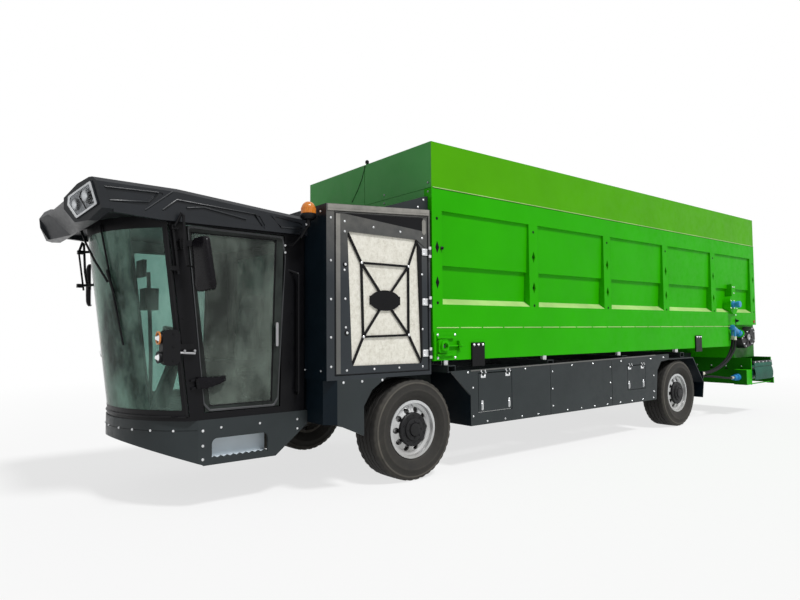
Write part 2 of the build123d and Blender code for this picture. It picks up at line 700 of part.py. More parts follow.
write(tension_plates.part, "tension_plates")

# Beater: a drum with rings of tines on a through shaft
with BuildPart() as beater:
    with BuildSketch(x_plane(-BODY_HALF - BRACKET_PROUD, BEATER_STATION, BEATER_Z)):
        Circle(SHAFT_RADIUS)
    extrude(amount=2 * (BODY_HALF + BRACKET_PROUD) - FIT)
    with BuildSketch(x_plane(-WALL_INNER_X + 30, BEATER_STATION, BEATER_Z)):
        Circle(BEATER_TUBE)
    extrude(amount=2 * (WALL_INNER_X - 30))
    for index in range(BEATER_RINGS):
        ring_x = (index - (BEATER_RINGS - 1) / 2) * BEATER_PITCH
        ring_plane = x_plane(ring_x - TINE_T / 2, BEATER_STATION, BEATER_Z)
        with BuildSketch(ring_plane):
            with PolarLocations(0, TINES, start_angle=TINE_TURN * index):
                Polygon(
                    (BEATER_TUBE - 10, -TINE_ROOT / 2), (BEATER_RADIUS, -TINE_TIP / 2),
                    (BEATER_RADIUS, TINE_TIP / 2), (BEATER_TUBE - 10, TINE_ROOT / 2), align=None,
                )
        extrude(amount=TINE_T)
write(beater.part, "beater")

# Chute under the hopper's rear, closed at the sides and in front
with BuildPart() as chute:
    with BuildSketch(Plane.YZ.offset(CHUTE_HALF - SHEET)):
        Polygon(
            *side_points(
                (CHUTE_FRONT, BOARD_TOP), (HOPPER_BACK - END_WALL, BOARD_TOP),
                (HOPPER_BACK - END_WALL, REAR_RAIL_Z), (SIDE_PLATE_BACK, REAR_RAIL_Z),
                (SIDE_PLATE_BACK, HOPPER_BOTTOM), (CHUTE_FRONT, HOPPER_BOTTOM),
            ),
            align=None,
        )
    extrude(amount=SHEET)
    mirror(about=Plane.YZ)
    with BuildSketch(y_plane(0, CHUTE_FRONT + SHEET, (BOARD_TOP + HOPPER_BOTTOM) / 2)):
        Rectangle(2 * CHUTE_HALF, HOPPER_BOTTOM - BOARD_TOP)
    extrude(amount=SHEET)
    with BuildSketch(y_plane(0, HOPPER_BACK, (BOARD_TOP + SEAM_Z) / 2)):
        Rectangle(2 * WALL_INNER_X, SEAM_Z - BOARD_TOP)
    extrude(amount=END_WALL)
    with BuildSketch(y_plane(0, HOPPER_BACK, (BOARD_TOP + REAR_RAIL_Z) / 2)):
        Rectangle(2 * CHUTE_HALF, REAR_RAIL_Z - BOARD_TOP)
    extrude(amount=END_WALL)
write(chute.part, "rear_chute")

# Gearbox of the floor chain on the chute's left side, with the seat of its slanting motor
GEAR_MOTOR_PLANE = Plane(
    origin=at(GEAR_MOTOR_X, GEAR_MOTOR_STATION, GEAR_MOTOR_Z), x_dir=(1, 0, 0),
    z_dir=(0, -cos(radians(GEAR_MOTOR_SLANT)), sin(radians(GEAR_MOTOR_SLANT))),
)
with BuildPart() as gearbox:
    with BuildSketch(x_plane(CHUTE_HALF, DRIVE_STATION, CHAIN_SHAFT_Z)) as gearbox_face:
        Polygon(*GEARBOX_FACE, align=None)
        fillet(gearbox_face.vertices(), 28)
    extrude(amount=GEARBOX_DEPTH)
    with BuildSketch(x_plane(CHUTE_HALF + GEARBOX_DEPTH, DRIVE_STATION, CHAIN_SHAFT_Z)):
        with PolarLocations(118, 6):
            SlotOverall(78, 44)
    extrude(amount=-14, mode=Mode.SUBTRACT)
    with BuildSketch(x_plane(CHUTE_HALF + GEARBOX_DEPTH, DRIVE_STATION, CHAIN_SHAFT_Z)):
        Circle(62)
    extrude(amount=12)
    with BuildSketch(GEAR_MOTOR_PLANE):
        Circle(MOTOR_RADIUS + 6)
    extrude(amount=-70)
write(gearbox.part, "chain_gearbox")

# Hydraulic motors: the beater's, the chain gearbox's slanting one and the conveyor's
ROLLER_X = CONVEYOR_HALF - BELT_RADIUS
BELT_MOTOR_X = ROLLER_X - 41
MOTORS = (  # seat, length of the nose, length of the tail
    (x_plane(BODY_HALF + BRACKET_PROUD, BEATER_STATION, BEATER_Z), 45, 55),
    (GEAR_MOTOR_PLANE, 80, 233),
    (y_plane(BELT_MOTOR_X, BOARD_FRONT - MOTOR_BOX, DRIVE_BOX_Z), 80, 110),
)
with BuildPart() as motors:
    for plane, nose, tail in MOTORS:
        with BuildSketch(plane):
            Circle(MOTOR_RADIUS)
        extrude(amount=nose)
        with BuildSketch(plane.offset(nose)):
            Circle(MOTOR_RADIUS - 14)
        extrude(amount=tail)
    for fitting_shift, station, low in FITTINGS:
        with BuildSketch(z_plane(GEAR_MOTOR_X + fitting_shift, station, low)):
            Circle(FITTING_RADIUS)
        extrude(amount=FITTING_HEIGHT)
write(motors.part, "hydraulic_motors")

# Hoses from the two lower motors forwards to the plate behind the mudguard
HOSE_END = 6412
HOSES = {  # radius, then the route's points: x, distance behind the front axle, z
    "supply_hose": (22, (
        (1310, 7560, 1440), (1310, 7560, 1300), (1300, 7462, 1120), (1284, 7290, 985),
        (1264, 7075, 890), (1240, 6830, 828), (1220, 6600, 806), (1220, HOSE_END, 806),
    )),
    "return_hose": (22, (
        (1370, 7530, 1430), (1370, 7530, 1270), (1358, 7430, 1110), (1342, 7255, 990),
        (1322, 7040, 895), (1300, 6800, 830), (1282, 6590, 808), (1282, HOSE_END, 808),
    )),
    "conveyor_hose": (18, (
        (1367, 7410, 690), (1367, 7270, 690), (1357, 7075, 706), (1332, 6870, 731),
        (1290, 6660, 751), (1252, 6530, 757), (1252, HOSE_END, 757),
    )),
}
for hose_name, (hose_radius, hose_points) in HOSES.items():
    route = [Vector(*at(*point)) for point in hose_points]
    bends = []
    for before, corner, after in zip(route, route[1:], route[2:]):
        turn = radians((corner - before).get_angle(after - corner))
        shorter = min((corner - before).length, (after - corner).length)
        bends.append(0.45 * shorter / tan(turn / 2))
    print(hose_name, "bend radii", [round(bend) for bend in bends])
    with BuildPart() as hose:
        with BuildLine() as hose_line:
            FilletPolyline(*route, radius=bends)
        with BuildSketch(Plane(origin=route[0], z_dir=route[1] - route[0])):
            Circle(hose_radius)
        sweep(path=hose_line.line)
    write(hose.part, hose_name)

# Cross conveyor: two boards, end rollers and an endless belt
BELT_FRONT = BOARD_FRONT + BOARD_T + 8
BELT_BACK = BOARD_BACK - BOARD_T - 8
with BuildPart() as conveyor_frame:
    for board_station in (BOARD_FRONT + BOARD_T, BOARD_BACK):
        with BuildSketch(y_plane(0, board_station, (BOARD_TOP + BOARD_BOTTOM) / 2)):
            Rectangle(2 * CONVEYOR_HALF, BOARD_TOP - BOARD_BOTTOM)
        extrude(amount=BOARD_T)
    for tie_x in TIE_XS:
        with BuildSketch(y_plane(tie_x, BOARD_BACK - BOARD_T, ROLLER_Z)):
            Rectangle(80, 60)
        extrude(amount=BOARD_BACK - BOARD_FRONT - 2 * BOARD_T)
    for roller_x in (-ROLLER_X, ROLLER_X):
        with BuildSketch(y_plane(roller_x, BELT_BACK, ROLLER_Z)):
            Circle(BELT_RADIUS - BELT_T - FIT)
        extrude(amount=BELT_BACK - BELT_FRONT)
        with BuildSketch(y_plane(roller_x, BOARD_BACK - BOARD_T, ROLLER_Z)):
            Circle(ROLLER_PIN)
        extrude(amount=BOARD_BACK - BOARD_FRONT - 2 * BOARD_T)
        with BuildSketch(y_plane(roller_x, BOARD_FRONT, DRIVE_BOX_Z)):
            Rectangle(2 * BELT_RADIUS, DRIVE_BOX_HEIGHT)
        extrude(amount=MOTOR_BOX)
        side = 1 if roller_x > 0 else -1
        with BuildSketch(y_plane(side * (CONVEYOR_HALF - 20), BOARD_BACK, EAR_Z)):
            Rectangle(2 * EAR_REACH, 110)
        extrude(amount=BOARD_T + 5)
        with BuildSketch(y_plane(side * (CONVEYOR_HALF - 12), BOARD_BACK - BOARD_T, TIE_Z)):
            Circle(TIE_RADIUS)
        extrude(amount=BOARD_BACK - BOARD_FRONT - 2 * BOARD_T)
write(conveyor_frame.part, "conveyor_frame")

with BuildPart() as belt:
    with BuildSketch(y_plane(0, BELT_BACK, ROLLER_Z)):
        SlotCenterToCenter(2 * ROLLER_X, 2 * BELT_RADIUS)
        SlotCenterToCenter(2 * ROLLER_X, 2 * (BELT_RADIUS - BELT_T), mode=Mode.SUBTRACT)
    extrude(amount=BELT_BACK - BELT_FRONT)
write(belt.part, "conveyor_belt")

# Engine module: a ring of front post, cap, rear wall and floor, open to both sides
ENGINE_BOTTOM = RAIL_TOP
ENGINE_SLOPE = (ENGINE_TOP_BACK - ENGINE_TOP_FRONT) / (ENGINE_BACK - ENGINE_FRONT)
OPENING_FRONT = ENGINE_FRONT + ENGINE_POST
OPENING_BACK = ENGINE_BACK - ENGINE_REAR_WALL
OPENING_LOW = ENGINE_BOTTOM + ENGINE_FLOOR_T


def engine_cap_z(station):
    """Underside of the sloping cap at a station."""
    return ENGINE_TOP_FRONT - ENGINE_CAP + ENGINE_SLOPE * (station - ENGINE_FRONT)


with BuildPart() as engine_housing:
    with BuildSketch(Plane.YZ.offset(-BODY_HALF)):
        Polygon(
            *side_points(
                (ENGINE_FRONT, ENGINE_BOTTOM), (ENGINE_BACK, ENGINE_BOTTOM),
                (ENGINE_BACK, ENGINE_TOP_BACK), (ENGINE_FRONT, ENGINE_TOP_FRONT),
            ),
            align=None,
        )
        Polygon(
            *side_points(
                (OPENING_FRONT, OPENING_LOW), (OPENING_BACK, OPENING_LOW),
                (OPENING_BACK, engine_cap_z(OPENING_BACK)),
                (OPENING_FRONT, engine_cap_z(OPENING_FRONT)),
            ),
            align=None, mode=Mode.SUBTRACT,
        )
    extrude(amount=2 * BODY_HALF)
write(engine_housing.part, "engine_housing")

# Engine as one block on the housing's floor
with BuildPart() as engine:
    with BuildSketch(z_plane(0, -430, OPENING_LOW)):
        Rectangle(1150, 760)
    extrude(amount=950)
    chamfer(engine.edges().filter_by(Axis.Z), 60)
write(engine.part, "engine_block")

# Deck hood: a folded cover from the engine module's roof up to the hopper's front
with BuildPart() as deck_hood:
    with BuildSketch(Plane.YZ.offset(-1240)):
        Polygon(
            *side_points(
                (-420, engine_cap_z(-420) + ENGINE_CAP), (ENGINE_BACK, ENGINE_TOP_BACK),
                (HOPPER_FRONT, ENGINE_TOP_BACK), (HOPPER_FRONT, 3065), (200, 3060),
            ),
            align=None,
        )
    extrude(amount=2480)
write(deck_hood.part, "deck_hood")

# Engine doors, hinged at their rear edge, with the mesh panel held in each
ENGINE_HINGE_X = BODY_HALF + DOOR_BARREL_RADIUS
ENGINE_HINGE_Y = aft(OPENING_BACK + 4)
DOOR_FRONT = OPENING_FRONT + DOOR_GAP
DOOR_BACK = OPENING_BACK - DOOR_GAP - 6
DOOR_LOW = OPENING_LOW + DOOR_GAP
MESH_OUTLINE = side_points((-817, 1241), (84, 1234), (33, 2557), (-868, 2565))
BAR_CORNERS = side_points((-678, 1524), (-93, 1536), (-91, 2261), (-697, 2264))
BADGE_CENTRE = (aft(-400), 1892)
with BuildPart() as engine_door:
    with BuildSketch(Plane.YZ.offset(BODY_HALF - DOOR_T)):
        Polygon(
            *side_points(
                (DOOR_FRONT, DOOR_LOW), (DOOR_BACK, DOOR_LOW),
                (DOOR_BACK, engine_cap_z(DOOR_BACK) - DOOR_GAP),
                (DOOR_FRONT, engine_cap_z(DOOR_FRONT) - DOOR_GAP),
            ),
            align=None,
        )
        Polygon(*MESH_OUTLINE, align=None, mode=Mode.SUBTRACT)
    extrude(amount=DOOR_T)
    with BuildSketch(Plane.YZ.offset(BODY_HALF - DOOR_T + MESH_DEPTH)):
        Polygon(*MESH_OUTLINE, align=None)
    extrude(amount=MESH_T)
    with BuildSketch(Plane.YZ.offset(BODY_HALF - DOOR_T + MESH_DEPTH + MESH_T)):
        for index, corner in enumerate(BAR_CORNERS):
            for bar_end in (BAR_CORNERS[index - 1], MESH_OUTLINE[index], BADGE_CENTRE):
                Polygon(*strip(corner, bar_end, BAR_WIDTH), align=None)
        with Locations(BADGE_CENTRE):
            Ellipse(*BADGE_HALF)
            Rectangle(2 * BADGE_HALF[0], BADGE_LUG)
    extrude(amount=DOOR_T - MESH_DEPTH - MESH_T)
    for hinge_z in ENGINE_HINGE_ZS:
        with BuildSketch(Plane.XY.offset(hinge_z - 25)):
            with Locations((ENGINE_HINGE_X, ENGINE_HINGE_Y)):
                Circle(DOOR_BARREL_RADIUS)
            with Locations((BODY_HALF - 2, ENGINE_HINGE_Y - 55)):
                Rectangle(16, 90)
            with Locations((ENGINE_HINGE_X, ENGINE_HINGE_Y)):
                Circle(DOOR_PIN_RADIUS + FIT, mode=Mode.SUBTRACT)
        extrude(amount=50)
write_pair(engine_door, "engine_door")

# Front skirts: folded plates ahead of the front wheels
with BuildPart() as front_skirt:
    with BuildSketch(Plane.XY.offset(FRONT_SKIRT_LOW)):
        with BuildLine():
            Polyline(
                (600, aft(FRONT_SKIRT_STATION)),
                (BODY_HALF - FRONT_SKIRT_BEND, aft(FRONT_SKIRT_STATION)),
                (BODY_HALF, aft(FRONT_SKIRT_STATION + 97)), (BODY_HALF, aft(FRONT_SKIRT_BACK)),
                (BODY_HALF - SHEET, aft(FRONT_SKIRT_BACK)),
                (BODY_HALF - SHEET, aft(FRONT_SKIRT_STATION + 107)),
                (BODY_HALF - FRONT_SKIRT_BEND - 10, aft(FRONT_SKIRT_STATION + SHEET)),
                (600, aft(FRONT_SKIRT_STATION + SHEET)), close=True,
            )
        make_face()
    extrude(amount=ENGINE_BOTTOM - FRONT_SKIRT_LOW)
    with BuildSketch(Plane.YZ.offset(500)):
        Polygon(
            *side_points(
                (-1200, 500), (-1200, 683), (-986, 683), (-677, FRONT_SKIRT_LOW), (-677, 840),
                (-576, 993), (FRONT_SKIRT_BACK, FRONT_SKIRT_TOP), (-300, FRONT_SKIRT_TOP),
                (-300, 500),
            ),
            align=None,
        )
    extrude(amount=900, mode=Mode.SUBTRACT)
    mirror(about=Plane.YZ)
write(front_skirt.part, "front_skirts")

# Side skirts with an inward return behind the front wheel, and their service openings
HOSE_PLATE_X = BODY_HALF - 125
FLAPS = (  # front station, rear station, bottom, top
    (935, 1520, 630, 1090),
    (4060, 4560, 680, 1045),
)
with BuildPart() as side_skirt:
    with BuildSketch(Plane.YZ.offset(BODY_HALF - SHEET)):
        Polygon(
            *side_points(
                (SKIRT_FRONT, SKIRT_BOTTOM), (SKIRT_BACK, SKIRT_BOTTOM), (4914, 938),
                (5025, 1068), (5270, 1100), (5270, SKIRT_TOP_BACK), (508, SKIRT_TOP_FRONT),
                (SKIRT_FRONT, 840),
            ),
            align=None,
        )
    extrude(amount=SHEET)
    with BuildSketch(z_plane((BODY_HALF + 620) / 2, SKIRT_FRONT + SHEET / 2, SKIRT_BOTTOM)):
        Rectangle(BODY_HALF - 620, SHEET)
    extrude(amount=1090 - SKIRT_BOTTOM)
    with BuildSketch(Plane.YZ.offset(GUARD_INNER_X)):
        Polygon(*folded(side_points(*GUARD_LINE), GUARD_T), align=None)
    extrude(amount=BODY_HALF - GUARD_INNER_X)
    mirror(about=Plane.YZ)
    for flap_front, flap_back, flap_low, flap_top in FLAPS:
        with BuildSketch(Plane.YZ.offset(BODY_HALF - SHEET)):
            Polygon(
                *side_points(
                    (flap_front, flap_low), (flap_back, flap_low), (flap_back, flap_top),
                    (flap_front, flap_top),
                ),
                align=None,
            )
        extrude(amount=SHEET, mode=Mode.SUBTRACT)
    with BuildSketch(Plane.YZ.offset(HOSE_PLATE_X)):
        Polygon(
            *side_points((HOSE_END, 725), (HOSE_END, 850), (6268, 850), (6371, 725)), align=None
        )
    extrude(amount=12)
    with BuildSketch(y_plane((HOSE_PLATE_X + BODY_HALF) / 2, HOSE_END, 787.5)):
        Rectangle(BODY_HALF - HOSE_PLATE_X, 125)
    extrude(amount=12)
write(side_skirt.part, "side_skirts")

# Service flaps hinged along their top edge
for flap_name, (flap_front, flap_back, flap_low, flap_top) in zip(("front", "rear"), FLAPS):
    hinge_x = BODY_HALF + 10
    with BuildPart() as flap:
        with BuildSketch(Plane.YZ.offset(BODY_HALF - FLAP_T)):
            Polygon(
                *side_points(
                    (flap_front + FLAP_GAP, flap_low + FLAP_GAP),
                    (flap_back - FLAP_GAP, flap_low + FLAP_GAP),
                    (flap_back - FLAP_GAP, flap_top - 12), (flap_front + FLAP_GAP, flap_top - 12),
                ),
                align=None,
            )
        extrude(amount=FLAP_T)
        for hinge_station in (flap_front + 80, flap_back - 80):
            with BuildSketch(y_plane(hinge_x, hinge_station + 20, flap_top)):
                Circle(10)
                with Locations((-8, -20)):
                    Rectangle(8, 40)
                Circle(5 + FIT, mode=Mode.SUBTRACT)
            extrude(amount=40)
    write(flap.part, f"service_flap_{flap_name}")

# Hinge pins with their fixed barrels, for the engine doors and the flaps
with BuildPart() as hinge_pins:
    for hinge_z in ENGINE_HINGE_ZS:
        with BuildSketch(Plane.XY.offset(hinge_z - 60)):
            with Locations((ENGINE_HINGE_X, ENGINE_HINGE_Y)):
                Circle(DOOR_PIN_RADIUS)
        extrude(amount=120)
        for low in (hinge_z - 60, hinge_z + 30):
            with BuildSketch(Plane.XY.offset(low)):
                with Locations((ENGINE_HINGE_X, ENGINE_HINGE_Y)):
                    Circle(DOOR_BARREL_RADIUS)
                with Locations((BODY_HALF + 6, ENGINE_HINGE_Y + 10)):
                    Rectangle(12, 24)
            extrude(amount=30)
    mirror(about=Plane.YZ)
    for flap_front, flap_back, flap_low, flap_top in FLAPS:
        for hinge_station in (flap_front + 80, flap_back - 80):
            with BuildSketch(y_plane(BODY_HALF + 10, hinge_station + 40, flap_top)):
                Circle(5)
            extrude(amount=80)
            for end in (hinge_station + 40, hinge_station - 25):
                with BuildSketch(y_plane(BODY_HALF + 10, end, flap_top)):
                    Circle(10)
                    with Locations((-6, 14)):
                        Rectangle(8, 30)
                extrude(amount=15)
write(hinge_pins.part, "hinge_pins")

# Body guides: straps bolted to the hopper that reach over the chassis
with BuildPart() as body_guides:
    for guide_station, guide_low in ((928, 1170), (6250, 1190)):
        with BuildSketch(x_plane(BODY_HALF, guide_station, guide_low + 135)):
            Rectangle(205, 270)
        extrude(amount=22)
    mirror(about=Plane.YZ)
write(body_guides.part, "body_guides")

# Cab: floor, pillars and rear wall as one frame
PILLAR_TOP_Z = 2613
REAR_TOP_Z = 2542
A_BASE = -2267
A_TOP = -2478
ROOF_SLOPE = (PILLAR_TOP_Z - REAR_TOP_Z) / (A_TOP - CAB_BACK)


def cab_top_z(station):
    """Top of the cab frame, which rises towards the windscreen."""
    return REAR_TOP_Z + ROOF_SLOPE * (station - CAB_BACK)


CAB_SIDE = side_points(
    (A_BASE + 5, CAB_FLOOR_Z), (CAB_BACK, CAB_FLOOR_Z), (CAB_BACK, REAR_TOP_Z),
    (A_TOP, PILLAR_TOP_Z),
)
DOOR_OPENING = side_points((-2136, 862), (-1386, 862), (-1338, 2528), (-2318, 2538))
DOOR_OUTER = side_points((-2128, 870), (-1398, 870), (-1348, 2520), (-2308, 2530))
DOOR_GLASS = side_points((-2090, 915), (-1470, 915), (-1425, 2480), (-2275, 2480))
REAR_WINDOW_Z = 1980
DOOR_AXIS_X = CAB_HALF + 25
DOOR_AXIS_LOW = (-2205, 1128)        # distance behind the front axle, z
DOOR_AXIS_TOP = (-2365, 2360)
DOOR_BARREL = 50                    # height of the door's barrels
DOOR_LUG = 20
DOOR_LUG_GAP = 2
DOOR_AXIS = (
    0, DOOR_AXIS_TOP[0] - DOOR_AXIS_LOW[0], DOOR_AXIS_TOP[1] - DOOR_AXIS_LOW[1],
)
DOOR_HINGES = [
    Plane(origin=at(DOOR_AXIS_X, station, z), x_dir=(1, 0, 0), z_dir=DOOR_AXIS)
    for station, z in (DOOR_AXIS_LOW, DOOR_AXIS_TOP)
]
with BuildPart() as cab_frame:
    with BuildSketch(Plane.YZ.offset(CAB_HALF - CAB_FRAME_T)):
        Polygon(*CAB_SIDE, align=None)
        Polygon(*DOOR_OPENING, align=None, mode=Mode.SUBTRACT)
    extrude(amount=CAB_FRAME_T)
    with BuildSketch(Plane.YZ.offset(-CAB_HALF)):
        Polygon(*CAB_SIDE, align=None)
        Polygon(*DOOR_GLASS, align=None, mode=Mode.SUBTRACT)
    extrude(amount=CAB_FRAME_T)
    with BuildSketch(y_plane(0, CAB_BACK, (CAB_FLOOR_Z + REAR_TOP_Z) / 2)):
        Rectangle(2 * CAB_HALF, REAR_TOP_Z - CAB_FLOOR_Z)
    extrude(amount=CAB_FRAME_T)
    with BuildSketch(y_plane(0, CAB_BACK, REAR_WINDOW_Z)):
        RectangleRounded(*REAR_WINDOW, 60)
    extrude(amount=CAB_FRAME_T, mode=Mode.SUBTRACT)
    with BuildSketch(Plane.XY.offset(CAB_FLOOR_Z)):
        with BuildLine():
            Polyline(
                (-CAB_HALF, aft(A_BASE)), (-CAB_HALF, aft(CAB_BACK)), (CAB_HALF, aft(CAB_BACK)),
                (CAB_HALF, aft(A_BASE)),
            )
            ThreePointArc((CAB_HALF, aft(A_BASE)), (0, aft(CAB_NOSE)), (-CAB_HALF, aft(A_BASE)))
        make_face()
    extrude(amount=CAB_FLOOR_T)
    with BuildLine() as rail_path:
        FilletPolyline(
            at(CAB_HALF - 10, -1215, 974), at(CAB_HALF + 60, -1215, 974),
            at(CAB_HALF + 60, -1215, 2150), at(CAB_HALF - 10, -1290, 2189), radius=25,
        )
    with BuildSketch(x_plane(CAB_HALF - 10, -1215, 974)):
        Circle(GRAB_RADIUS)
    sweep(path=rail_path.line)
    for hinge in DOOR_HINGES:
        with BuildSketch(hinge.offset(-DOOR_BARREL / 2 - DOOR_LUG)):
            Circle(DOOR_PIN_RADIUS)
        extrude(amount=DOOR_BARREL + 2 * DOOR_LUG)
        for level in (-DOOR_BARREL / 2 - DOOR_LUG, DOOR_BARREL / 2 + DOOR_LUG_GAP):
            with BuildSketch(hinge.offset(level)):
                Circle(DOOR_BARREL_RADIUS)
                with Locations((-18, -30)):
                    Rectangle(24, 60)
            extrude(amount=DOOR_LUG - DOOR_LUG_GAP)
write(cab_frame.part, "cab_frame")

# Cab glass: a bowed windscreen that leans forward, the right and the rear window
SCREEN_LOW = CAB_FLOOR_Z + CAB_FLOOR_T + FIT
SCREEN_TOP = PILLAR_TOP_Z
SCREEN_LEAN = A_TOP - A_BASE
SCREEN_HALF = 885
with BuildPart() as cab_glass:
    for level, shift in ((SCREEN_LOW, 0), (SCREEN_TOP, SCREEN_LEAN)):
        with BuildSketch(Plane.XY.offset(level)):
            with BuildLine():
                outer = ThreePointArc(
                    (-SCREEN_HALF, aft(A_BASE - 12 + shift)), (0, aft(CAB_NOSE + shift)),
                    (SCREEN_HALF, aft(A_BASE - 12 + shift)),
                )
                inner = ThreePointArc(
                    (-SCREEN_HALF, aft(A_BASE + shift)), (0, aft(CAB_NOSE + GLASS_T + shift)),
                    (SCREEN_HALF, aft(A_BASE + shift)),
                )
                Line(outer @ 0, inner @ 0)
                Line(outer @ 1, inner @ 1)
            make_face()
    loft(ruled=True)
    with BuildSketch(Plane.YZ.offset(-CAB_HALF + 20)):
        Polygon(*DOOR_GLASS, align=None)
    extrude(amount=GLASS_T)
    with BuildSketch(y_plane(0, CAB_BACK - 20, REAR_WINDOW_Z)):
        RectangleRounded(*REAR_WINDOW, 60)
    extrude(amount=GLASS_T)
write(cab_glass.part, "cab_glass")

# Left door: a frame round its pane, hung on two arms along the leaning pillar
with BuildPart() as cab_door:
    with BuildSketch(Plane.YZ.offset(CAB_HALF - DOOR_FRAME_T - 5)):
        Polygon(*DOOR_OUTER, align=None)
        Polygon(*DOOR_GLASS, align=None, mode=Mode.SUBTRACT)
    extrude(amount=DOOR_FRAME_T)
    for hinge in DOOR_HINGES:
        with BuildSketch(hinge.offset(-DOOR_BARREL / 2)):
            with Locations((-8, 55)):
                Rectangle(16, 110)
            with Locations((-24, 170)):
                Rectangle(20, 190)
            Circle(DOOR_BARREL_RADIUS)
            Circle(DOOR_PIN_RADIUS + FIT, mode=Mode.SUBTRACT)
        extrude(amount=DOOR_BARREL)
    with BuildSketch(x_plane(CAB_HALF - 7, -1438, 1557)):
        RectangleRounded(46, 255, 20)
    extrude(amount=14)
    with BuildSketch(x_plane(CAB_HALF + 5, -1438, 1557)):
        RectangleRounded(26, 230, 12)
        Rectangle(40, 130, mode=Mode.SUBTRACT)
    extrude(amount=35)
    with BuildSketch(x_plane(CAB_HALF + 26, -1438, 1557)):
        RectangleRounded(26, 230, 12)
    extrude(amount=14)
write(cab_door.part, "cab_door")

with BuildPart() as door_glass:
    with BuildSketch(Plane.YZ.offset(CAB_HALF - 30)):
        Polygon(*DOOR_GLASS, align=None)
    extrude(amount=GLASS_T)
write(door_glass.part, "cab_door_glass")

# Cab skirt: sheet wrapped round the cab's foot, rising to the front and behind
with BuildPart() as cab_skirt:
    inner_half = SKIRT_CAB_HALF - SHEET
    with BuildSketch(Plane.XY.offset(CAB_SKIRT_LOW)):
        with BuildLine():
            Polyline(
                (-SKIRT_CAB_HALF, aft(CAB_SKIRT_SIDE)), (-SKIRT_CAB_HALF, aft(CAB_SKIRT_BACK)),
                (-inner_half, aft(CAB_SKIRT_BACK)), (-inner_half, aft(CAB_SKIRT_SIDE + 10)),
            )
            ThreePointArc(
                (-inner_half, aft(CAB_SKIRT_SIDE + 10)), (0, aft(CAB_SKIRT_NOSE + SHEET)),
                (inner_half, aft(CAB_SKIRT_SIDE + 10)),
            )
            Polyline(
                (inner_half, aft(CAB_SKIRT_SIDE + 10)), (inner_half, aft(CAB_SKIRT_BACK)),
                (SKIRT_CAB_HALF, aft(CAB_SKIRT_BACK)), (SKIRT_CAB_HALF, aft(CAB_SKIRT_SIDE)),
            )
            ThreePointArc(
                (SKIRT_CAB_HALF, aft(CAB_SKIRT_SIDE)), (0, aft(CAB_SKIRT_NOSE)),
                (-SKIRT_CAB_HALF, aft(CAB_SKIRT_SIDE)),
            )
        make_face()
    extrude(amount=CAB_FLOOR_Z - CAB_SKIRT_LOW)
    with BuildSketch(Plane.YZ.offset(-1000)):
        for rising_edge in (
            ((-2143, CAB_SKIRT_LOW + 5), (CAB_SKIRT_NOSE - 50, 628)),
            ((-1435, CAB_SKIRT_LOW), (CAB_SKIRT_BACK, 667), (-1000, 667)),
        ):
            Polygon(
                *side_points(
                    (rising_edge[0][0], CAB_SKIRT_LOW - 5), *rising_edge,
                    (rising_edge[-1][0], CAB_SKIRT_LOW - 5),
                ),
                align=None,
            )
    extrude(amount=2000, mode=Mode.SUBTRACT)
    with BuildSketch(x_plane(SKIRT_CAB_HALF - SHEET - 5, STEP_STATION, STEP_LOW)) as step_hole:
        Polygon(
            *[(STEP_HALF * (index / STEP_TEETH - 1), STEP_TOOTH * (index % 2))
              for index in range(2 * STEP_TEETH + 1)],
            (STEP_HALF, STEP_HEIGHT), (-STEP_HALF, STEP_HEIGHT), align=None,
        )
        fillet(step_hole.vertices().group_by(Axis.Y)[-1], 50)
    extrude(amount=SHEET + 10, mode=Mode.SUBTRACT)
write(cab_skirt.part, "cab_skirt")

# Step in the left side of the cab's skirt
STEP_FRONT_X = SKIRT_CAB_HALF - SHEET
with BuildPart() as cab_step:
    with BuildSketch(z_plane(STEP_FRONT_X - STEP_DEPTH / 2, STEP_STATION, STEP_LOW - 25)):
        Rectangle(STEP_DEPTH, 2 * STEP_HALF + 40)
    extrude(amount=25)
    with BuildSketch(z_plane(STEP_FRONT_X - STEP_DEPTH + 6, STEP_STATION, STEP_LOW)):
        Rectangle(12, 2 * STEP_HALF + 40)
    extrude(amount=CAB_FLOOR_Z - STEP_LOW)
write(cab_step.part, "cab_step")

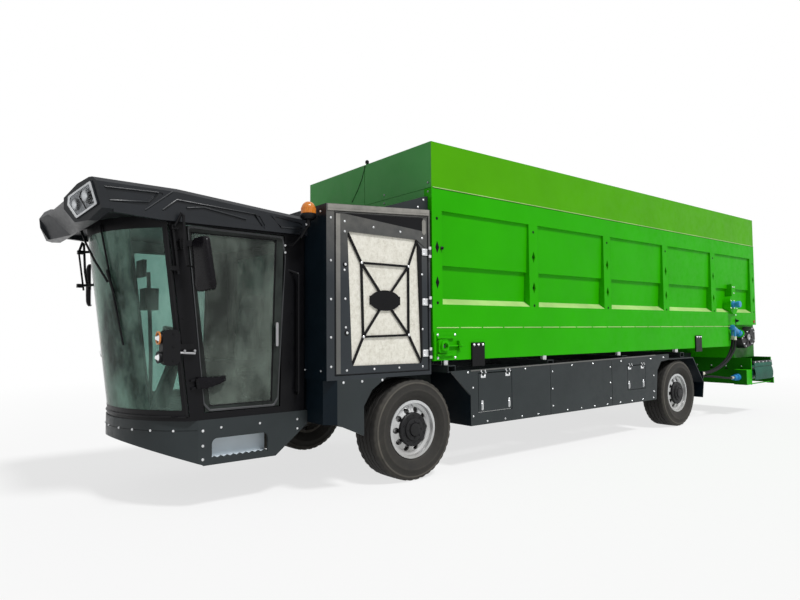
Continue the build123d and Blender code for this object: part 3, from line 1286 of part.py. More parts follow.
# Roof: a moulded cap with a lamp pod at each front corner and a sunk middle between them
LAMP_PLANE = Plane(origin=at(*LAMP_SEAT), x_dir=(0.876, 0.482, 0), z_dir=LAMP_FACING)
ROOF_TOP = ((-3240, 2760), (-3105, 2852), (-2404, 2842), (-1528, 2762), (CAB_BACK + 10, 2726))
ROOF_PANELS = (  # sunk panels of the roof's sides, as stations and heights
    ((-3002, 2787), (-2506, 2784), (-2672, 2658), (-2961, 2660)),
    ((-2545, 2628), (-2399, 2738), (-1630, 2683), (-1565, 2585)),
    ((-1495, 2702), (-1190, 2664), (-1144, 2631), (-1393, 2604)),
)
with BuildPart() as cab_roof:
    with BuildSketch(Plane.YZ.offset(-ROOF_HALF)):
        Polygon(
            *side_points(
                (CAB_BACK + 10, REAR_TOP_Z + FIT), (A_TOP, PILLAR_TOP_Z + FIT),
                (-2930, PILLAR_TOP_Z + FIT), (-3010, 2515), (-3160, 2505), (-3240, 2640), *ROOF_TOP,
            ),
            align=None,
        )
    extrude(amount=2 * ROOF_HALF)
    chamfer(
        [edge for edge in cab_roof.edges().filter_by(Axis.X, reverse=True)
         if edge.center().Z > 2725 and edge.center().Y > aft(-3105)],
        34,
    )
    for side_x in (-ROOF_HALF, CAB_HALF + 2):
        with BuildSketch(Plane.YZ.offset(side_x)):
            Polygon(
                *side_points(
                    (CAB_BACK + 10, REAR_TOP_Z + 60), (CAB_BACK + 10, REAR_TOP_Z + 3),
                    (-2544, 2551), (-3015, 2583), (-3015, 2640), (A_TOP, PILLAR_TOP_Z + 10),
                ),
                align=None,
            )
        extrude(amount=ROOF_HALF - CAB_HALF - 2)
    for lamp_side in (1, -1):
        x, station, z = LAMP_SEAT
        normal_x, normal_y, normal_z = LAMP_FACING
        split(
            bisect_by=Plane(
                origin=at(lamp_side * x, station, z),
                z_dir=(lamp_side * normal_x, normal_y, normal_z),
            ),
            keep=Keep.BOTTOM,
        )
        with BuildSketch(y_plane(0, -2930, 0)):
            Polygon(
                (lamp_side * 780, 2400), (lamp_side * 780, 2500), (lamp_side * 955, 2603),
                (lamp_side * 955, 2400), align=None,
            )
        extrude(amount=400, mode=Mode.SUBTRACT)
    for level, front_x, back_x, front, back in (
        (2870, 640, 520, -3305, -3300), (2450, 535, 100, -3120, -2985),
    ):
        with BuildSketch(Plane.XY.offset(level)):
            Polygon(
                (front_x, aft(front)), (back_x, aft(back)), (-back_x, aft(back)),
                (-front_x, aft(front)), (-front_x, aft(-3600)), (front_x, aft(-3600)), align=None,
            )
    loft(ruled=True, mode=Mode.SUBTRACT)
    with BuildSketch(y_plane(0, -3250, 0)):
        Polygon(
            (-920, 2850), (-600, 2705), (600, 2705), (920, 2850), (920, 3000), (-920, 3000),
            align=None,
        )
    extrude(amount=420, dir=(0, 0.36, 0.145), mode=Mode.SUBTRACT)
    for panel in ROOF_PANELS:
        for side_x in (-ROOF_HALF - 5, ROOF_HALF - 8):
            with BuildSketch(Plane.YZ.offset(side_x)) as panel_face:
                Polygon(*side_points(*panel), align=None)
                fillet(panel_face.vertices(), 14)
            extrude(amount=13, mode=Mode.SUBTRACT)
write(cab_roof.part, "cab_roof")

# Roof lamps on the slanting faces of the two pods
with BuildPart() as roof_lamps:
    with BuildSketch(LAMP_PLANE.offset(FIT)) as lamp_face:
        Polygon((-8, 12), (-52, 205), (-325, 100), (-345, 32), (-262, -88), align=None)
        fillet(lamp_face.vertices(), 16)
    extrude(amount=8)
    mirror(about=Plane.YZ)
write(roof_lamps.part, "roof_lamps")

# Seat, steering column and armrest
with BuildPart() as seat:
    with BuildSketch(z_plane(0, -1560, CAB_FLOOR_Z + CAB_FLOOR_T)):
        Rectangle(300, 320)
    extrude(amount=330)
    with BuildSketch(z_plane(0, -1580, CAB_FLOOR_Z + CAB_FLOOR_T + 330)):
        RectangleRounded(520, 500, 60)
    extrude(amount=120)
    with BuildSketch(Plane.YZ.offset(-250)):
        Polygon(*side_points((-1400, 1250), (-1300, 1260), (-1220, 1980), (-1300, 2000)), align=None)
    extrude(amount=500)
write(seat.part, "seat")

WHEEL_TILT = 65
STEERING_PLANE = Plane(
    origin=at(0, -2030, 1540), x_dir=(1, 0, 0),
    z_dir=(0, cos(radians(WHEEL_TILT)), sin(radians(WHEEL_TILT))),
)
with BuildPart() as steering:
    with BuildSketch(Plane.YZ.offset(-60)):
        Polygon(
            *side_points((-2330, 840), (-2180, 840), (-2010, 1480), (-2070, 1500)), align=None
        )
    extrude(amount=120)
    with BuildSketch(STEERING_PLANE):
        Circle(200)
        Circle(172, mode=Mode.SUBTRACT)
    extrude(amount=24)
    with BuildSketch(STEERING_PLANE):
        with PolarLocations(90, 3):
            Rectangle(180, 30)
        Circle(50)
    extrude(amount=14)
    with BuildSketch(STEERING_PLANE):
        Circle(28)
    extrude(amount=-70)
write(steering.part, "steering_column")

# Mirrors, each hung from a bent tube at the top of the windscreen pillar
MIRROR_PLANE = Plane(
    origin=at(1060, -2335, 0), x_dir=(0.9653, 0.2614, 0), z_dir=(0.2614, -0.9653, 0),
)
with BuildPart() as mirrors:
    with BuildLine() as mirror_arm:
        FilletPolyline(
            at(CAB_HALF, -2445, 2508), at(965, -2432, 2508), at(1000, -2387, 2655),
            at(1000, -2322, 2150), at(1110, -2295, 2140), radius=20,
        )
    with BuildSketch(x_plane(CAB_HALF, -2445, 2508)):
        Circle(12)
    sweep(path=mirror_arm.line)
    with BuildSketch(x_plane(CAB_HALF, -2386, 2092)):
        Circle(14)
    extrude(amount=44)
    with BuildSketch(x_plane(CAB_HALF, -2440, 2508)):
        Circle(14)
    extrude(amount=44)
    with BuildLine() as mirror_strut:
        Line(at(CAB_HALF + 30, -2386, 2092), at(CAB_HALF + 30, -2440, 2508))
    with BuildSketch(Plane(origin=mirror_strut.line @ 0, z_dir=mirror_strut.line % 0)):
        Circle(9)
    sweep(path=mirror_strut.line)
    with BuildSketch(MIRROR_PLANE) as mirror_face:
        Polygon((0, 2397), (60, 1927), (320, 1943), (205, 2404), align=None)
        fillet(mirror_face.vertices(), 28)
    extrude(amount=-MIRROR_DEPTH)
    mirror(about=Plane.YZ)
write(mirrors.part, "mirrors")

# Work lamps on brackets at the windscreen pillars
with BuildPart() as work_lamps:
    with BuildSketch(x_plane(CAB_HALF + 5, -2465, WORK_LAMP_Z)):
        RectangleRounded(150, 310, 60)
    extrude(amount=100)
    with BuildSketch(x_plane(CAB_HALF, -2330, WORK_LAMP_Z)):
        Rectangle(180, 50)
    extrude(amount=15)
    for level in (-82, 82):
        with BuildSketch(y_plane(CAB_HALF + 52, -2536, WORK_LAMP_Z + level)):
            Circle(46)
        extrude(amount=26)
        with BuildSketch(y_plane(CAB_HALF + 52, -2562, WORK_LAMP_Z + level)):
            Circle(30)
        extrude(amount=22, taper=35)
    mirror(about=Plane.YZ)
write(work_lamps.part, "work_lamps")

# Beacon on a bent arm at the cab's rear pillar
with BuildPart() as beacon:
    with BuildLine() as beacon_arm:
        FilletPolyline(
            at(CAB_HALF, -1319, 2426), at(BEACON_X, -1319, 2426), at(BEACON_X, -1190, 2470),
            at(BEACON_X, -1190, 2700), radius=40,
        )
    with BuildSketch(x_plane(CAB_HALF, -1319, 2426)):
        Circle(13)
    sweep(path=beacon_arm.line)
    with BuildSketch(z_plane(BEACON_X, -1190, 2698)):
        Circle(52)
    extrude(amount=45)
    with BuildSketch(z_plane(BEACON_X, -1190, 2743)):
        Circle(42)
    extrude(amount=85)
    with BuildSketch(z_plane(BEACON_X, -1190, 2828)):
        Circle(42)
    extrude(amount=40, taper=30)
write(beacon.part, "beacon")

# Tail lamps
with BuildPart() as tail_lamps:
    with BuildSketch(y_plane(CHUTE_HALF - 140, HOPPER_BACK, 1530)):
        RectangleRounded(240, 110, 20)
    extrude(amount=-45)
    mirror(about=Plane.YZ)
write(tail_lamps.part, "tail_lamps")
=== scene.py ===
# Looks of the self-propelled feed mixer wagon: materials, fine detail, light and camera.
# Metres, +X is the wagon's left side, the cab faces -Y, +Z is up. Stations are distances
# behind the front axle, as in the part's source.
import json
from math import copysign, cos, exp, hypot, pi, radians, sin, sqrt, tan

import bmesh
import bpy
from mathutils import Matrix, Vector


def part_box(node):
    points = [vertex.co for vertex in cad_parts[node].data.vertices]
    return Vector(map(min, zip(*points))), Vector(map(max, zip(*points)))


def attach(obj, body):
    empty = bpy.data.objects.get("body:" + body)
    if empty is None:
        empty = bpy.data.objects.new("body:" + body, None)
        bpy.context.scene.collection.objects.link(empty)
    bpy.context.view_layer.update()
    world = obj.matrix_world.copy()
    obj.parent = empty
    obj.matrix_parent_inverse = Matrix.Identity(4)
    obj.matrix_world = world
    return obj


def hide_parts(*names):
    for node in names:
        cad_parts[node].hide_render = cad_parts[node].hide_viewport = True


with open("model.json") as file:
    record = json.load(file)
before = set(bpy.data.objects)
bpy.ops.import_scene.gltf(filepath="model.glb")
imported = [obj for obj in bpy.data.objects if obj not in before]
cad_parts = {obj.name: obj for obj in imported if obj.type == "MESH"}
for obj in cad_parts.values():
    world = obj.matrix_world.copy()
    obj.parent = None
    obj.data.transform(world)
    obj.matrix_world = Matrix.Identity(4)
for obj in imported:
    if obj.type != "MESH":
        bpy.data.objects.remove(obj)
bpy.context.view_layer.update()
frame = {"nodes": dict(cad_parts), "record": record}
NODES = frame["nodes"]


def middle(node):
    low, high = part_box(node)
    return (low + high) / 2


FRONT_AXLE_Y = middle("wheel_front_left").y
REAR_AXLE_Y = middle("wheel_rear_left").y
WALL_X = 1.305               # side of the body
WHEEL_X = 1.102              # middle plane of the tyres
TYRE_RADIUS = 0.536
CAB_HALF = 0.905             # side of the cab's skirt
SEAM_Z = 3.165
SKY_LIGHT = 0.3              # of the surround, for rays that light a surface
KEY_LIGHT = 2.7
FLOOR_GLOW = 0.72            # share of plain white in the floor near the wagon
FADE = (7.0, 16.0)           # distances from the middle over which it rises to 1
LEFT = Vector((1, 0, 0))
FORWARD = Vector((0, -1, 0))
UP = Vector((0, 0, 1))


def at(x, station, z):
    """Point at x, this far behind the front axle, at height z."""
    return Vector((x, FRONT_AXLE_Y + station, z))


def add_object(name, data):
    thing = bpy.data.objects.new(name, data)
    bpy.context.scene.collection.objects.link(thing)
    return thing


# Materials

def add_node(owner, kind, **values):
    """A node of a material or world, with its inputs and properties set by name."""
    node = owner.node_tree.nodes.new("ShaderNode" + kind)
    for key, value in values.items():
        socket = node.inputs.get(key.replace("_", " "))
        if socket is not None:
            socket.default_value = value
        else:
            setattr(node, key, value)
    return node


def join(source, target):
    target.id_data.links.new(source, target)


def feed(shader, **sources):
    """Joins sources to the shader's inputs by name."""
    for key, source in sources.items():
        join(source, shader.inputs[key.replace("_", " ")])


def new_material(name, **values):
    """A material and its shader, whose inputs are set by name."""
    look = bpy.data.materials.new(name)
    look.use_nodes = True
    look.node_tree.nodes.clear()
    output = add_node(look, "OutputMaterial")
    shader = add_node(look, "BsdfPrincipled", **values)
    join(shader.outputs["BSDF"], output.inputs["Surface"])
    return look, shader


def textured(look, kind, stretch=None, **values):
    """Outputs of a texture over object space, optionally stretched along an axis."""
    source = add_node(look, "TexCoord").outputs["Object"]
    if stretch:
        mapping = add_node(look, "Mapping", Scale=stretch)
        join(source, mapping.inputs["Vector"])
        source = mapping.outputs["Vector"]
    texture = add_node(look, kind, **values)
    join(source, texture.inputs["Vector"])
    return texture.outputs


def noise(look, scale, detail=4.0, rough=0.55, stretch=None):
    return textured(
        look, "TexNoise", stretch, Scale=scale, Detail=detail, Roughness=rough
    )["Fac"]


def ramp(look, source, stops):
    """Colour ramp over (position, colour) stops."""
    node = add_node(look, "ValToRGB")
    elements = node.color_ramp.elements
    while len(elements) < len(stops):
        elements.new(0.5)
    for element, (position, colour) in zip(elements, stops):
        element.position = position
        element.color = (*colour, 1.0)
    join(source, node.inputs["Fac"])
    return node.outputs["Color"]


def tone(look, source, value, low, high, start=0.3, end=0.7):
    """Ramp between two shares of a colour or a grey level."""
    colour = value if isinstance(value, tuple) else (value,) * 3
    return ramp(look, source, [
        (position, tuple(c * share for c in colour))
        for position, share in ((start, low), (end, high))
    ])


def mapped(owner, source, start, end, low, high):
    """Source mapped from start..end to low..high."""
    node = add_node(
        owner, "MapRange", From_Min=start, From_Max=end, To_Min=low, To_Max=high
    )
    join(source, node.inputs["Value"])
    return node.outputs["Result"]


def product(look, first, second):
    node = add_node(look, "Math", operation="MULTIPLY")
    join(first, node.inputs[0])
    join(second, node.inputs[1])
    return node.outputs[0]


def bump(look, shader, source, strength, distance=0.002):
    node = add_node(look, "Bump", Strength=strength, Distance=distance)
    join(source, node.inputs["Height"])
    feed(shader, Normal=node.outputs["Normal"])


def mix_colour(look, factor, first, second):
    """Colour between two sources by a factor."""
    node = add_node(look, "Mix", data_type="RGBA")
    join(factor, node.inputs[0])
    for socket, source in ((node.inputs[6], first), (node.inputs[7], second)):
        if isinstance(source, tuple):
            socket.default_value = (*source, 1.0)
        else:
            join(source, socket)
    return node.outputs[2]


def blend(look, factor, first, second):
    """Makes the material's surface a mix of two shaders by a factor."""
    mixed = add_node(look, "MixShader")
    for socket, source in zip(mixed.inputs, (factor, first, second)):
        join(source, socket)
    output = next(n for n in look.node_tree.nodes if n.type == "OUTPUT_MATERIAL")
    join(mixed.outputs["Shader"], output.inputs["Surface"])


def dust_and_sheen_by_height(look, top, bottom):
    """Factor that rises from 0 at height top to 1 at height bottom, broken by noise."""
    split = add_node(look, "SeparateXYZ")
    join(add_node(look, "NewGeometry").outputs["Position"], split.inputs["Vector"])
    height = mapped(look, split.outputs["Z"], bottom, top, 1.0, 0.0)
    return product(look, height, noise(look, 7.0, 6.0, 0.7))


def paint(name, colour, rough=0.3, vary=0.12, dust=None, peel=0.04, metallic=0.0, specular=0.5):
    """Sprayed paint: slow colour drift, fine orange peel, uneven gloss, and a colour mixed in by
    height: real dust low on the axles and rims, a painted sheen of light high on the engine housing
    and its trim.
    """
    look, shader = new_material(name, Metallic=metallic, Specular_IOR_Level=specular)
    tint = tone(look, noise(look, 1.6, 3.0), colour, 1 - vary, 1 + vary)
    # Colour mixed in by height: real dust on the axles and rims, a painted sheen of light on the
    # housing and its trim.
    if dust:
        tint = mix_colour(look, dust_and_sheen_by_height(look, *dust[:2]), tint, dust[2])
    gloss = tone(look, noise(look, 9.0, 6.0, 0.65), rough, 0.8, 1.35, 0.35)
    feed(shader, Base_Color=tint, Roughness=gloss)
    bump(look, shader, noise(look, 220.0, 2.0), peel, 0.001)
    return look


DUST = (0.22, 0.2, 0.165)
GREEN = paint("green_paint", (0.024, 0.4, 0.0), 0.42, 0.05, peel=0.01, specular=0.07)
EXTENSION = paint("extension_paint", (0.075, 0.37, 0.001), 0.42, 0.05, peel=0.01, specular=0.08)
# Light green for painted sunlight on the hopper's upward ledges and painted highlights along its
# seams.
PAINTED_HIGHLIGHT_GREEN = paint("painted_highlight_green", (0.4, 0.6, 0.2), 0.4, 0.2, specular=0.4)
GREY = paint("chassis_paint", (0.029, 0.035, 0.037), 0.38, 0.12, specular=0.16)
# The housing's dark paint turns light grey towards its top: a painted reflection of the sky.
HOUSING = paint(
    "housing_paint", (0.026, 0.031, 0.036), 0.36, 0.15, (2.1, 2.95, (0.22, 0.21, 0.19)),
    specular=0.22,
)
# Sunlit light grey copy of the dark housing paint, lighter still towards its top: painted light on
# the edging, cap strip and skirt rim.
SUNLIT_TRIM = paint("painted_sunlit_trim", (0.1, 0.1, 0.095), 0.35, 0.2, (1.8, 2.9, (0.42, 0.4, 0.36)))
AXLE = paint("axle_paint", (0.012, 0.012, 0.013), 0.6, 0.3, (0.9, 0.2, DUST), specular=0.2)
# Dark copy of the housing and skirt paint for their forward and rearward faces: painted shade.
PAINTED_SHADE = paint("shaded_paint", (0.004, 0.009, 0.014), 0.4, 0.2, specular=0.12)
BLACK = paint("black_frame", (0.004, 0.004, 0.005), 0.34, 0.2, specular=0.14)
BLUE = paint("motor_paint", (0.03, 0.25, 0.56), 0.35, 0.2)
SILVER = paint("rim_paint", (0.58, 0.59, 0.6), 0.36, 0.16, (0.9, 0.1, DUST), 0.06, 0.45)
CAST = paint("cast_paint", (0.009, 0.009, 0.01), 0.5, 0.3, peel=0.3, specular=0.25)
CREAM = paint("fitting_paint", (0.62, 0.6, 0.5), 0.4, 0.08)
# Near-black for dark joints and for painted shade in holes, pockets, slots and creases.
JOINT_AND_SHADE_BLACK = paint("seam_shadow", (0.004, 0.004, 0.005), 0.7, 0.2, specular=0.1)
# Dark copy of the body green: painted shade.
SHADED_GREEN = paint("shaded_green", (0.008, 0.14, 0.001), 0.45, 0.1, specular=0.1)
# Bluish copy of the body green for the forward faces of the hopper's front: a painted reflection of
# the sky.
SKY_SHEEN_BOARD = paint("front_board_sky_sheen", (0.085, 0.36, 0.095), 0.42, 0.05, peel=0.01, specular=0.1)
# Dark green for real joint lines and for a painted shadow under the fold.
GREEN_JOINT_AND_SHADE = paint("green_joint_and_shade", (0.006, 0.08, 0.002), 0.6, 0.1, specular=0.1)
STEP = paint("step_plate", (0.62, 0.69, 0.74), 0.4, 0.1, peel=0.2)


def plastic(name, colour, rough, grain=0.25, specular=0.3):
    """Moulded plastic with a leather-like grain."""
    look, shader = new_material(name, Specular_IOR_Level=specular)
    feed(
        shader,
        Base_Color=tone(look, noise(look, 3.0), colour, 0.85, 1.2),
        Roughness=tone(look, noise(look, 30.0), rough, 0.85, 1.15),
    )
    cells = textured(look, "TexVoronoi", Scale=700.0)
    bump(look, shader, cells["Distance"], grain, 0.0004)
    return look


ROOF = plastic("roof_plastic", (0.009, 0.011, 0.014), 0.36)
PLASTIC = plastic("black_plastic", (0.005, 0.005, 0.006), 0.42, specular=0.16)
GLOSS = plastic("mirror_shell", (0.004, 0.0035, 0.005), 0.26, 0.05, 0.12)
RUBBER = plastic("rubber_seal", (0.008, 0.008, 0.009), 0.7, 0.1, 0.2)
BELT = plastic("belt_rubber", (0.006, 0.075, 0.048), 0.5, 0.3, 0.15)
EDGE = plastic("door_edge_seal", (0.05, 0.052, 0.055), 0.45, 0.1)
LCD = plastic("monitor_screen", (0.015, 0.02, 0.03), 0.12, 0.0)
FROSTED = plastic("lamp_frame", (0.8, 0.82, 0.84), 0.3, 0.1, 0.5)


def metal(name, colour, rough, brush=(1.0, 1.0, 1.0)):
    """Bare or plated metal, brushed along one direction."""
    look, shader = new_material(name, Metallic=1.0)
    streaks = noise(look, 12.0, 5.0, 0.6, brush)
    feed(
        shader,
        Base_Color=tone(look, streaks, colour, 0.8, 1.0),
        Roughness=tone(look, streaks, rough, 0.75, 1.3),
    )
    bump(look, shader, streaks, 0.08, 0.0005)
    return look


ZINC = metal("zinc_plate", (0.78, 0.79, 0.8), 0.32)
STEEL = metal("worn_steel", (0.42, 0.42, 0.43), 0.4, (1.0, 14.0, 1.0))
CHROME = metal("chrome", (0.86, 0.87, 0.88), 0.1)
REFLECTOR = metal("lamp_reflector", (0.9, 0.91, 0.92), 0.22)


def glass(name, tint, clear, rough, film_share):
    """Thin tinted pane: mostly see-through, with a sharp reflection over it, under a film whose
    patchy colour is a painted reflection.
    """
    look, shader = new_material(name)
    painted_reflection_noise = noise(look, 2.0, 5.0, 0.62, (1.0, 1.0, 0.6))
    # The film's base colour, broken into patches by noise, is a painted reflection of the
    # surroundings.
    feed(
        shader,
        Base_Color=tone(look, painted_reflection_noise, tint, 0.15, 1.0, 0.38, 0.6),
        Roughness=tone(look, painted_reflection_noise, rough, 1.0, 3.0, 0.3, 0.8),
    )
    through = add_node(look, "BsdfTransparent", Color=(*clear, 1.0))
    rim = add_node(look, "Fresnel", IOR=1.45)
    film = mapped(look, rim.outputs["Fac"], 0.0, 1.0, film_share, 1.0)
    blend(look, film, through.outputs["BSDF"], shader.outputs["BSDF"])
    return look


PANE = glass("cab_glass", (0.44, 0.62, 0.53), (0.73, 0.88, 0.84), 0.02, 0.2)
DOOR_PANE = glass("door_glass", (0.28, 0.34, 0.29), (0.74, 0.84, 0.81), 0.02, 0.32)
TINTED = glass("door_edge_glass", (0.07, 0.09, 0.08), (0.02, 0.03, 0.03), 0.03, 0.3)
LENS = glass("lamp_glass", (0.7, 0.72, 0.74), (0.96, 0.97, 0.98), 0.02, 0.12)


def lens(name, colour, glow):
    """Ribbed translucent lamp plastic, with a faint painted glow though no lamp is lit."""
    look, shader = new_material(
        name, Roughness=0.18, Transmission_Weight=0.25, Emission_Color=(*colour, 1.0),
        Emission_Strength=glow,
    )
    ribs = noise(look, 40.0, 1.0, 0.4, (1.0, 6.0, 1.0))
    feed(shader, Base_Color=tone(look, ribs, colour, 0.7, 1.0))
    bump(look, shader, ribs, 0.3)
    return look


# The beacon dome, lamp rings, tail lamps and side reflectors glow faintly: painted light.
AMBER = lens("amber_lens", (0.75, 0.24, 0.02), 0.12)
RED = lens("red_lens", (0.42, 0.01, 0.01), 0.04)


def tyre_material():
    """Road tyre: black tread, and sidewalls dusted towards the shoulder."""
    look, shader = new_material("tyre_rubber", Specular_IOR_Level=0.25)
    patches = noise(look, 5.0, 7.0, 0.7)
    black = ramp(look, patches, [
        (0.3, (0.009, 0.009, 0.009)), (0.6, (0.018, 0.017, 0.016)), (0.8, (0.04, 0.036, 0.03)),
    ])
    wear = add_node(look, "Attribute", attribute_name="dust")
    share = product(look, wear.outputs["Fac"], patches)
    feed(
        shader,
        Base_Color=mix_colour(look, share, black, (0.105, 0.097, 0.083)),
        Roughness=tone(look, patches, 1.0, 0.62, 0.9, 0.3, 0.8),
    )
    bump(look, shader, noise(look, 160.0, 3.0), 0.25)
    return look


def fabric_material():
    """Woven seat cloth."""
    look, shader = new_material("seat_fabric", Roughness=0.85, Sheen_Weight=0.3)
    weave = textured(look, "TexChecker", Scale=500.0)["Fac"]
    tint = mix_colour(look, weave, (0.012, 0.012, 0.014), (0.04, 0.04, 0.045))
    feed(shader, Base_Color=tint)
    bump(look, shader, weave, 0.4, 0.0006)
    return look


def mesh_panel_material():
    """Perforated zinc sheet: a square grid of small holes, mottled with dried dust."""
    look, shader = new_material("perforated_sheet", Metallic=0.25, Roughness=0.5)
    cells = textured(look, "TexVoronoi", Scale=110.0, Randomness=0.0)
    holes = mapped(look, cells["Distance"], 0.3, 0.36, 0.0, 1.0)
    sheet = ramp(look, noise(look, 26.0, 8.0, 0.75), [
        (0.3, (0.58, 0.55, 0.47)), (0.5, (0.74, 0.72, 0.64)), (0.7, (0.86, 0.84, 0.77)),
    ])
    feed(shader, Base_Color=mix_colour(look, holes, (0.22, 0.21, 0.18), sheet))
    bump(look, shader, holes, 0.3, 0.002)
    return look


TYRE = tyre_material()
FABRIC = fabric_material()
PERFORATED = mesh_panel_material()
SLOT_LOOK = {
    "green_paint": GREEN, "chassis_paint": GREY, "axle_paint": AXLE, "black_frame": BLACK,
    "black_plastic": PLASTIC, "cab_glass": PANE, "lamp_lens": LENS, "red_lens": RED,
    "amber_lens": AMBER, "tyre": TYRE, "wheel_paint": SILVER, "blue_paint": BLUE, "cast": CAST,
    "steel": STEEL, "belt": BELT, "hose": RUBBER, "seat_fabric": FABRIC, "step_grating": STEP,
}
for part in frame["record"]["subparts"]:
    cad = NODES[part["node"]]
    cad.data.materials.clear()
    cad.data.materials.append(SLOT_LOOK[part["material_slot"]])
for node, look in (
    ("cab_roof", ROOF), ("load_cells", ZINC), ("hinge_pins", ZINC), ("tension_plates", GREEN),
    ("engine_housing", HOUSING), ("engine_door_left", HOUSING), ("engine_door_right", HOUSING),
    ("hopper_extension", EXTENSION), ("cab_door_glass", DOOR_PANE),
):
    NODES[node].data.materials[0] = look


def repaint(node, look, chosen):
    """Gives a second material to the faces of a CAD node that a test on centre and normal picks."""
    mesh = NODES[node].data
    mesh.materials.append(look)
    index = len(mesh.materials) - 1
    for face in mesh.polygons:
        if chosen(face.center, face.normal):
            face.material_index = index


# The upward sloping ledges of the hopper's sides take painted sunlight.
for node in ("hopper_side_left", "hopper_side_right"):
    repaint(node, PAINTED_HIGHLIGHT_GREEN, lambda centre, normal: normal.z > 0.3 and 1.8 < centre.z < 2.0)
# Forward faces of the hopper's front and extension take the painted sky reflection.
for node in ("hopper_extension", "hopper_front_wall"):
    repaint(node, SKY_SHEEN_BOARD, lambda _, normal: normal.y < -0.7)
# Painted shade on the chute's lower sides under the hopper and on the conveyor frame's forward
# faces.
repaint("rear_chute", SHADED_GREEN, lambda centre, normal: abs(normal.x) > 0.7 and centre.z < 1.35)
repaint("conveyor_frame", SHADED_GREEN, lambda _, normal: normal.y < -0.7)
# Forward and rearward faces of the engine housing and skirts take painted shade.
for node in ("engine_housing", "front_skirts", "side_skirts"):
    repaint(node, PAINTED_SHADE, lambda _, normal: abs(normal.y) > 0.7)


# Outlines and rings

def turns(count, start=0):
    """Angles spaced evenly over a full turn."""
    return [2 * pi * (index + start) / count for index in range(count)]


def around(x, radius, turn):
    """Offset by x, and by a radius at an angle around the X axis."""
    return Vector((x, radius * cos(turn), radius * sin(turn)))


def circle(centre, axis, radius, sides):
    axis = Vector(axis).normalized()
    first = axis.orthogonal().normalized()
    second = axis.cross(first)
    return [
        centre + radius * (cos(turn) * first + sin(turn) * second)
        for turn in turns(sides)
    ]


def rounded(corners, radius):
    """Outline with rounded corners, with the same number of points for each corner."""
    points = []
    for index, corner in enumerate(corners):
        corner = Vector(corner)
        into = (Vector(corners[index - 1]) - corner).normalized()
        out = (Vector(corners[(index + 1) % len(corners)]) - corner).normalized()
        half = into.angle(out) / 2
        reach = radius / tan(half)
        start, end = corner + into * reach, corner + out * reach
        for step in range(6):
            share = step / 5
            points.append(start.lerp(corner, share).lerp(corner.lerp(end, share), share))
    return points


def shells(outline, centre, layers, place):
    """Rings of an outline: scaled about its centre and put at a depth, for each layer."""
    return [
        [place(*(centre + (point - centre) * scale), depth) for point in outline]
        for scale, depth in layers
    ]


def side_point(station, z, x):
    return at(x, station, z)


# Small solids, gathered into one mesh for each material and body

PILES = []


